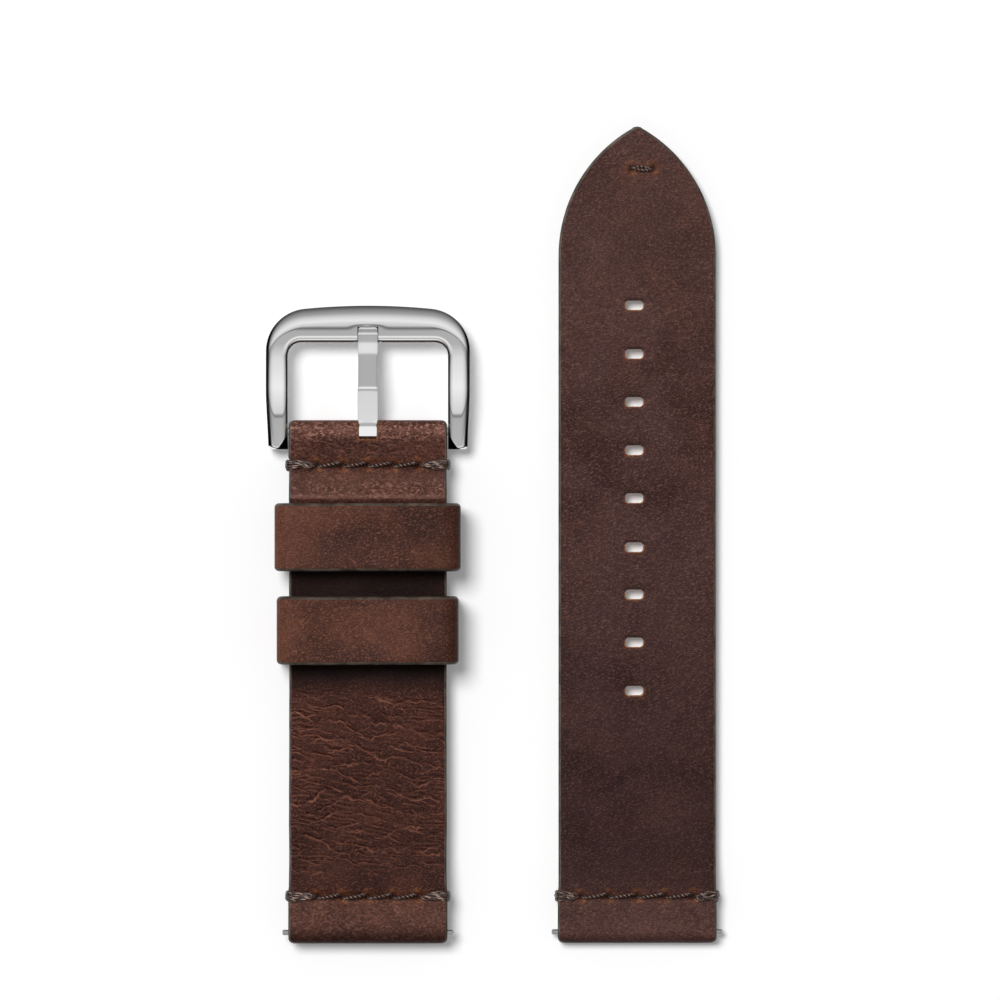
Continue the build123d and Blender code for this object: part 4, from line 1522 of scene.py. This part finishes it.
def tongue_width(y):
    """Half width of the strip, a little drawn in over its falling part."""
    crest, shoulder, tip = (tongue_bends[bend] for bend in ("crest", "shoulder", "tip"))
    waist = smooth_step(crest - bend_run, crest + bend_run, y)
    waist *= 1 - smooth_step(shoulder - bend_run, shoulder + bend_run, y)
    root = 1 - smooth_step(root_low, root_high, y)
    end = tip - y
    trim = tip_corner - half_circle(tip_corner - end, tip_corner) if end < tip_corner else 0
    drawn_in = tongue_waist * waist + (tongue_half - eye_half) * root + trim
    return tongue_half + tongue_swell - drawn_in


tongue_stations = even_steps(tongue_bends["start"], tongue_bends["tip"] - tip_corner, 0.1 * mm)
tongue_stations += [tongue_bends["tip"] - step * mm for step in (0.2, 0.12, 0.06, 0.02, 0.004)]
chamfer_turn = radians(38)
tongue_ring = [(share, 0, 0, 1) for share in (-1, -0.5, 0, 0.5, 1)]
chamfer = [
    (sin(chamfer_turn * part) / sin(chamfer_turn), 1 - cos(chamfer_turn * part)) for part in (0.5, 1)
]
tongue_ring += [(1, out, down, 1) for out, down in chamfer]
tongue_ring += [(1, 1, 0, 0), (0, 0, 0, 0), (-1, -1, 0, 0)]
tongue_ring += [(-1, -out, down, 1) for out, down in reversed(chamfer)]


def tongue_point(column, row):
    """Where a point of the strip's section lies at one of its stations."""
    across, out, down, level = tongue_ring[column]
    y = tongue_stations[row]
    low = tongue_under(y)
    under = max(low, buckle_bar.z + half_circle(y, eye_bore))
    z = low + tongue_depth(y) - down * tongue_chamfer / sin(chamfer_turn) if level else under
    x = across * (tongue_width(y) - tongue_chamfer) + out * tongue_chamfer
    return Vector((short_x + x, buckle_bar.y + y, z))


tongue_mesh = bmesh.new()
grid_tube(tongue_mesh, len(tongue_ring), len(tongue_stations) - 1, tongue_point)
close_ends(tongue_mesh)
eye_radius = eye_bore + eye_wall
eye_neck_radius = 1.45 * mm
eye_under = 0.05 * mm
eye_flat = 0.02 * mm
eye_turns = 96


def eye_point(column, row):
    """Where a point of the eye's section lies at a turn: round, and flat on top like the strip."""
    turn = 2 * pi * row / eye_turns
    limit = eye_neck_radius if 0 < cos(turn) and 0 < sin(turn) else eye_radius - eye_under
    outside = min(limit, (tongue_thickness - eye_flat) / max(sin(turn), 0.01))
    inside, across = ((0, -1), (1, -1), (1, 1), (0, 1))[column]
    radius = eye_bore + (outside - eye_bore) * inside
    return buckle_bar + Vector((across * eye_half, radius * cos(turn), radius * sin(turn)))


grid_tube(tongue_mesh, 4, eye_turns, eye_point, closed=True)
buckle_tongue = piece_from(
    tongue_mesh, "buckle_tongue_polished", "tongue", [polished_steel], smooth_angle=30
)
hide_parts("buckle_tongue")

seat_room = 0.06 * mm
seat_half = tongue_half + 0.10 * mm
seat_shade = steel("seat_shade", (0.10, 0.10, 0.10), 0.5, 0.2)
seat_start = 10.0 * mm
seat_end = tongue_bends["tip"] + 0.07 * mm
seat_steps = (10.0, 11.0, 12.3, 13.4, 14.4)
seat_low = [(y * mm, tongue_under(y * mm) - seat_room) for y in seat_steps]
seat_outline = [*seat_low, (seat_end, seat_low[-1][1]), (seat_end, cad_high.z), (seat_start, cad_high.z)]
seat_outline = [(buckle_bar.y + y, z) for y, z in seat_outline]
carve_bar(buckle_frame, seat_outline, short_x - seat_half, short_x + seat_half, seat_shade)
buckle_frame.data.set_sharp_from_angle(angle=radians(frame_smooth_deg))
store(
    buckle_frame,
    "shaded",
    lambda x, y, z: smooth_step(0.02, 0.16, hollow_share(x - short_x, y - buckle_bar.y)),
)

# Floor, lamps and camera: a white sheet below the strap, a large soft lamp at the upper left, a
# studio of pale walls that the steel reflects, and a long lens that looks straight down.
camera_x = 0.76 * mm
camera_y = 4.83 * mm
view_width = 138.9 * mm
lens = 260.0
sensor = 36.0
camera_height = view_width * lens / sensor
camera_data = bpy.data.cameras.new("camera")
camera_data.lens = lens
camera_data.sensor_width = sensor
camera_data.clip_start = 0.01
camera = add_object("camera", camera_data)
camera.location = (camera_x, camera_y, camera_height)
bpy.context.scene.camera = camera

floor_mesh = bmesh.new()
bmesh.ops.create_grid(floor_mesh, x_segments=1, y_segments=1, size=2)
floor_data = bpy.data.meshes.new("floor")
floor_mesh.to_mesh(floor_data)
floor_mesh.free()
floor = add_object("floor", floor_data)
floor.location.z = -0.02 * mm
floor_finish, floor_tree, floor_shader = blank_material("white_floor")
floor_shader.inputs["Base Color"].default_value = (0.86, 0.86, 0.86, 1)
floor_shader.inputs["Roughness"].default_value = 0.9
floor_shader.inputs["Specular IOR Level"].default_value = 0.0
path = node(floor_tree, "LightPath")
seen = number(floor_tree, "MAXIMUM", path.outputs["Is Camera Ray"], path.outputs["Is Glossy Ray"])
seen = number(floor_tree, "MAXIMUM", seen, path.outputs["Is Transmission Ray"])
glow = node(floor_tree, "Emission", {"Color": (1, 1, 1, 1), "Strength": times(floor_tree, seen, 0.16)})
both = node(floor_tree, "AddShader", {0: floor_shader.outputs[0], 1: glow.outputs[0]})
floor_tree.links.new(both.outputs[0], floor_tree.nodes["Material Output"].inputs["Surface"])
floor_data.materials.append(floor_finish)

key_direction = Vector((-0.29, 0.34, 1.0))
key_data = bpy.data.lights.new("key_lamp", "SUN")
key_data.energy = 2.65
key_data.angle = radians(25)
key = add_object("key_lamp", key_data)
metal = bpy.data.collections.new("metal")
for piece in (buckle_frame, buckle_tongue, *bar_parts):
    metal.objects.link(piece)
for entry in metal.collection_objects:
    entry.light_linking.link_state = "EXCLUDE"
key.light_linking.receiver_collection = metal
key.rotation_euler = key_direction.to_track_quat("Z", "Y").to_euler()

world = bpy.data.worlds.new("studio")
world.use_nodes = True
bpy.context.scene.world = world
sky = world.node_tree
direction = node(sky, "TexCoord").outputs["Generated"]
axes = node(sky, "SeparateXYZ", {0: direction})
height = axes.outputs["Z"]
ahead = number(sky, "ARCTAN2", axes.outputs["Y"], height)
sideways = number(sky, "ABSOLUTE", number(sky, "ARCTAN2", axes.outputs["X"], height))


def grey_ramp(value, low_deg, high_deg, stops):
    """Brightness along an angle, between given stops of (degrees, brightness)."""
    reach = {"Value": value, "From Min": radians(low_deg), "From Max": radians(high_deg)}
    ramp = node(sky, "ValToRGB", {0: node(sky, "MapRange", reach).outputs[0]})
    points = ramp.color_ramp.elements
    while len(points) < len(stops):
        points.new(0.5)
    for point, (degrees, brightness) in zip(points, stops):
        point.position = (degrees - low_deg) / (high_deg - low_deg)
        point.color = (brightness, brightness, brightness, 1)
    return ramp.outputs[0]


lengthwise = grey_ramp(
    ahead,
    -90,
    90,
    [
        (-80, 0.03), (-62, 0.45), (-54, 0.82), (-42, 0.90), (-36, 0.82), (-34.2, 0.50),
        (-17.4, 0.46), (-15.9, 0.16), (-14.4, 0.70), (0, 0.95), (16, 0.78), (24, 0.48),
        (31.4, 0.46), (32.9, 0.09), (34.4, 0.66), (42, 0.90), (52, 0.72), (62, 0.40),
        (80, 0.10), (85, 0.01),
    ],
)
crosswise = grey_ramp(
    sideways,
    0,
    90,
    [
        (0, 1.0), (22, 0.92), (46, 0.74), (50, 0.70), (51.5, 0.25), (53, 0.62),
        (64, 0.38), (74, 0.03), (90, 0.01),
    ],
)
studio = node(sky, "Mix", {0: 1.0}, data_type="RGBA", blend_type="MULTIPLY")
sky.links.new(lengthwise, studio.inputs[6])
sky.links.new(crosswise, studio.inputs[7])
studio = studio.outputs[2]
rays = node(sky, "LightPath")
ambient = tint(sky, rays.outputs["Is Camera Ray"], (0.22, 0.22, 0.224), (1.0, 1.0, 1.0))
mirrored = number(sky, "MAXIMUM", rays.outputs["Is Glossy Ray"], rays.outputs["Is Transmission Ray"])
background = sky.nodes["Background"]
sky.links.new(tint(sky, mirrored, ambient, studio), background.inputs["Color"])
background.inputs["Strength"].default_value = 1.0
bpy.context.scene.view_settings.view_transform = "Standard"
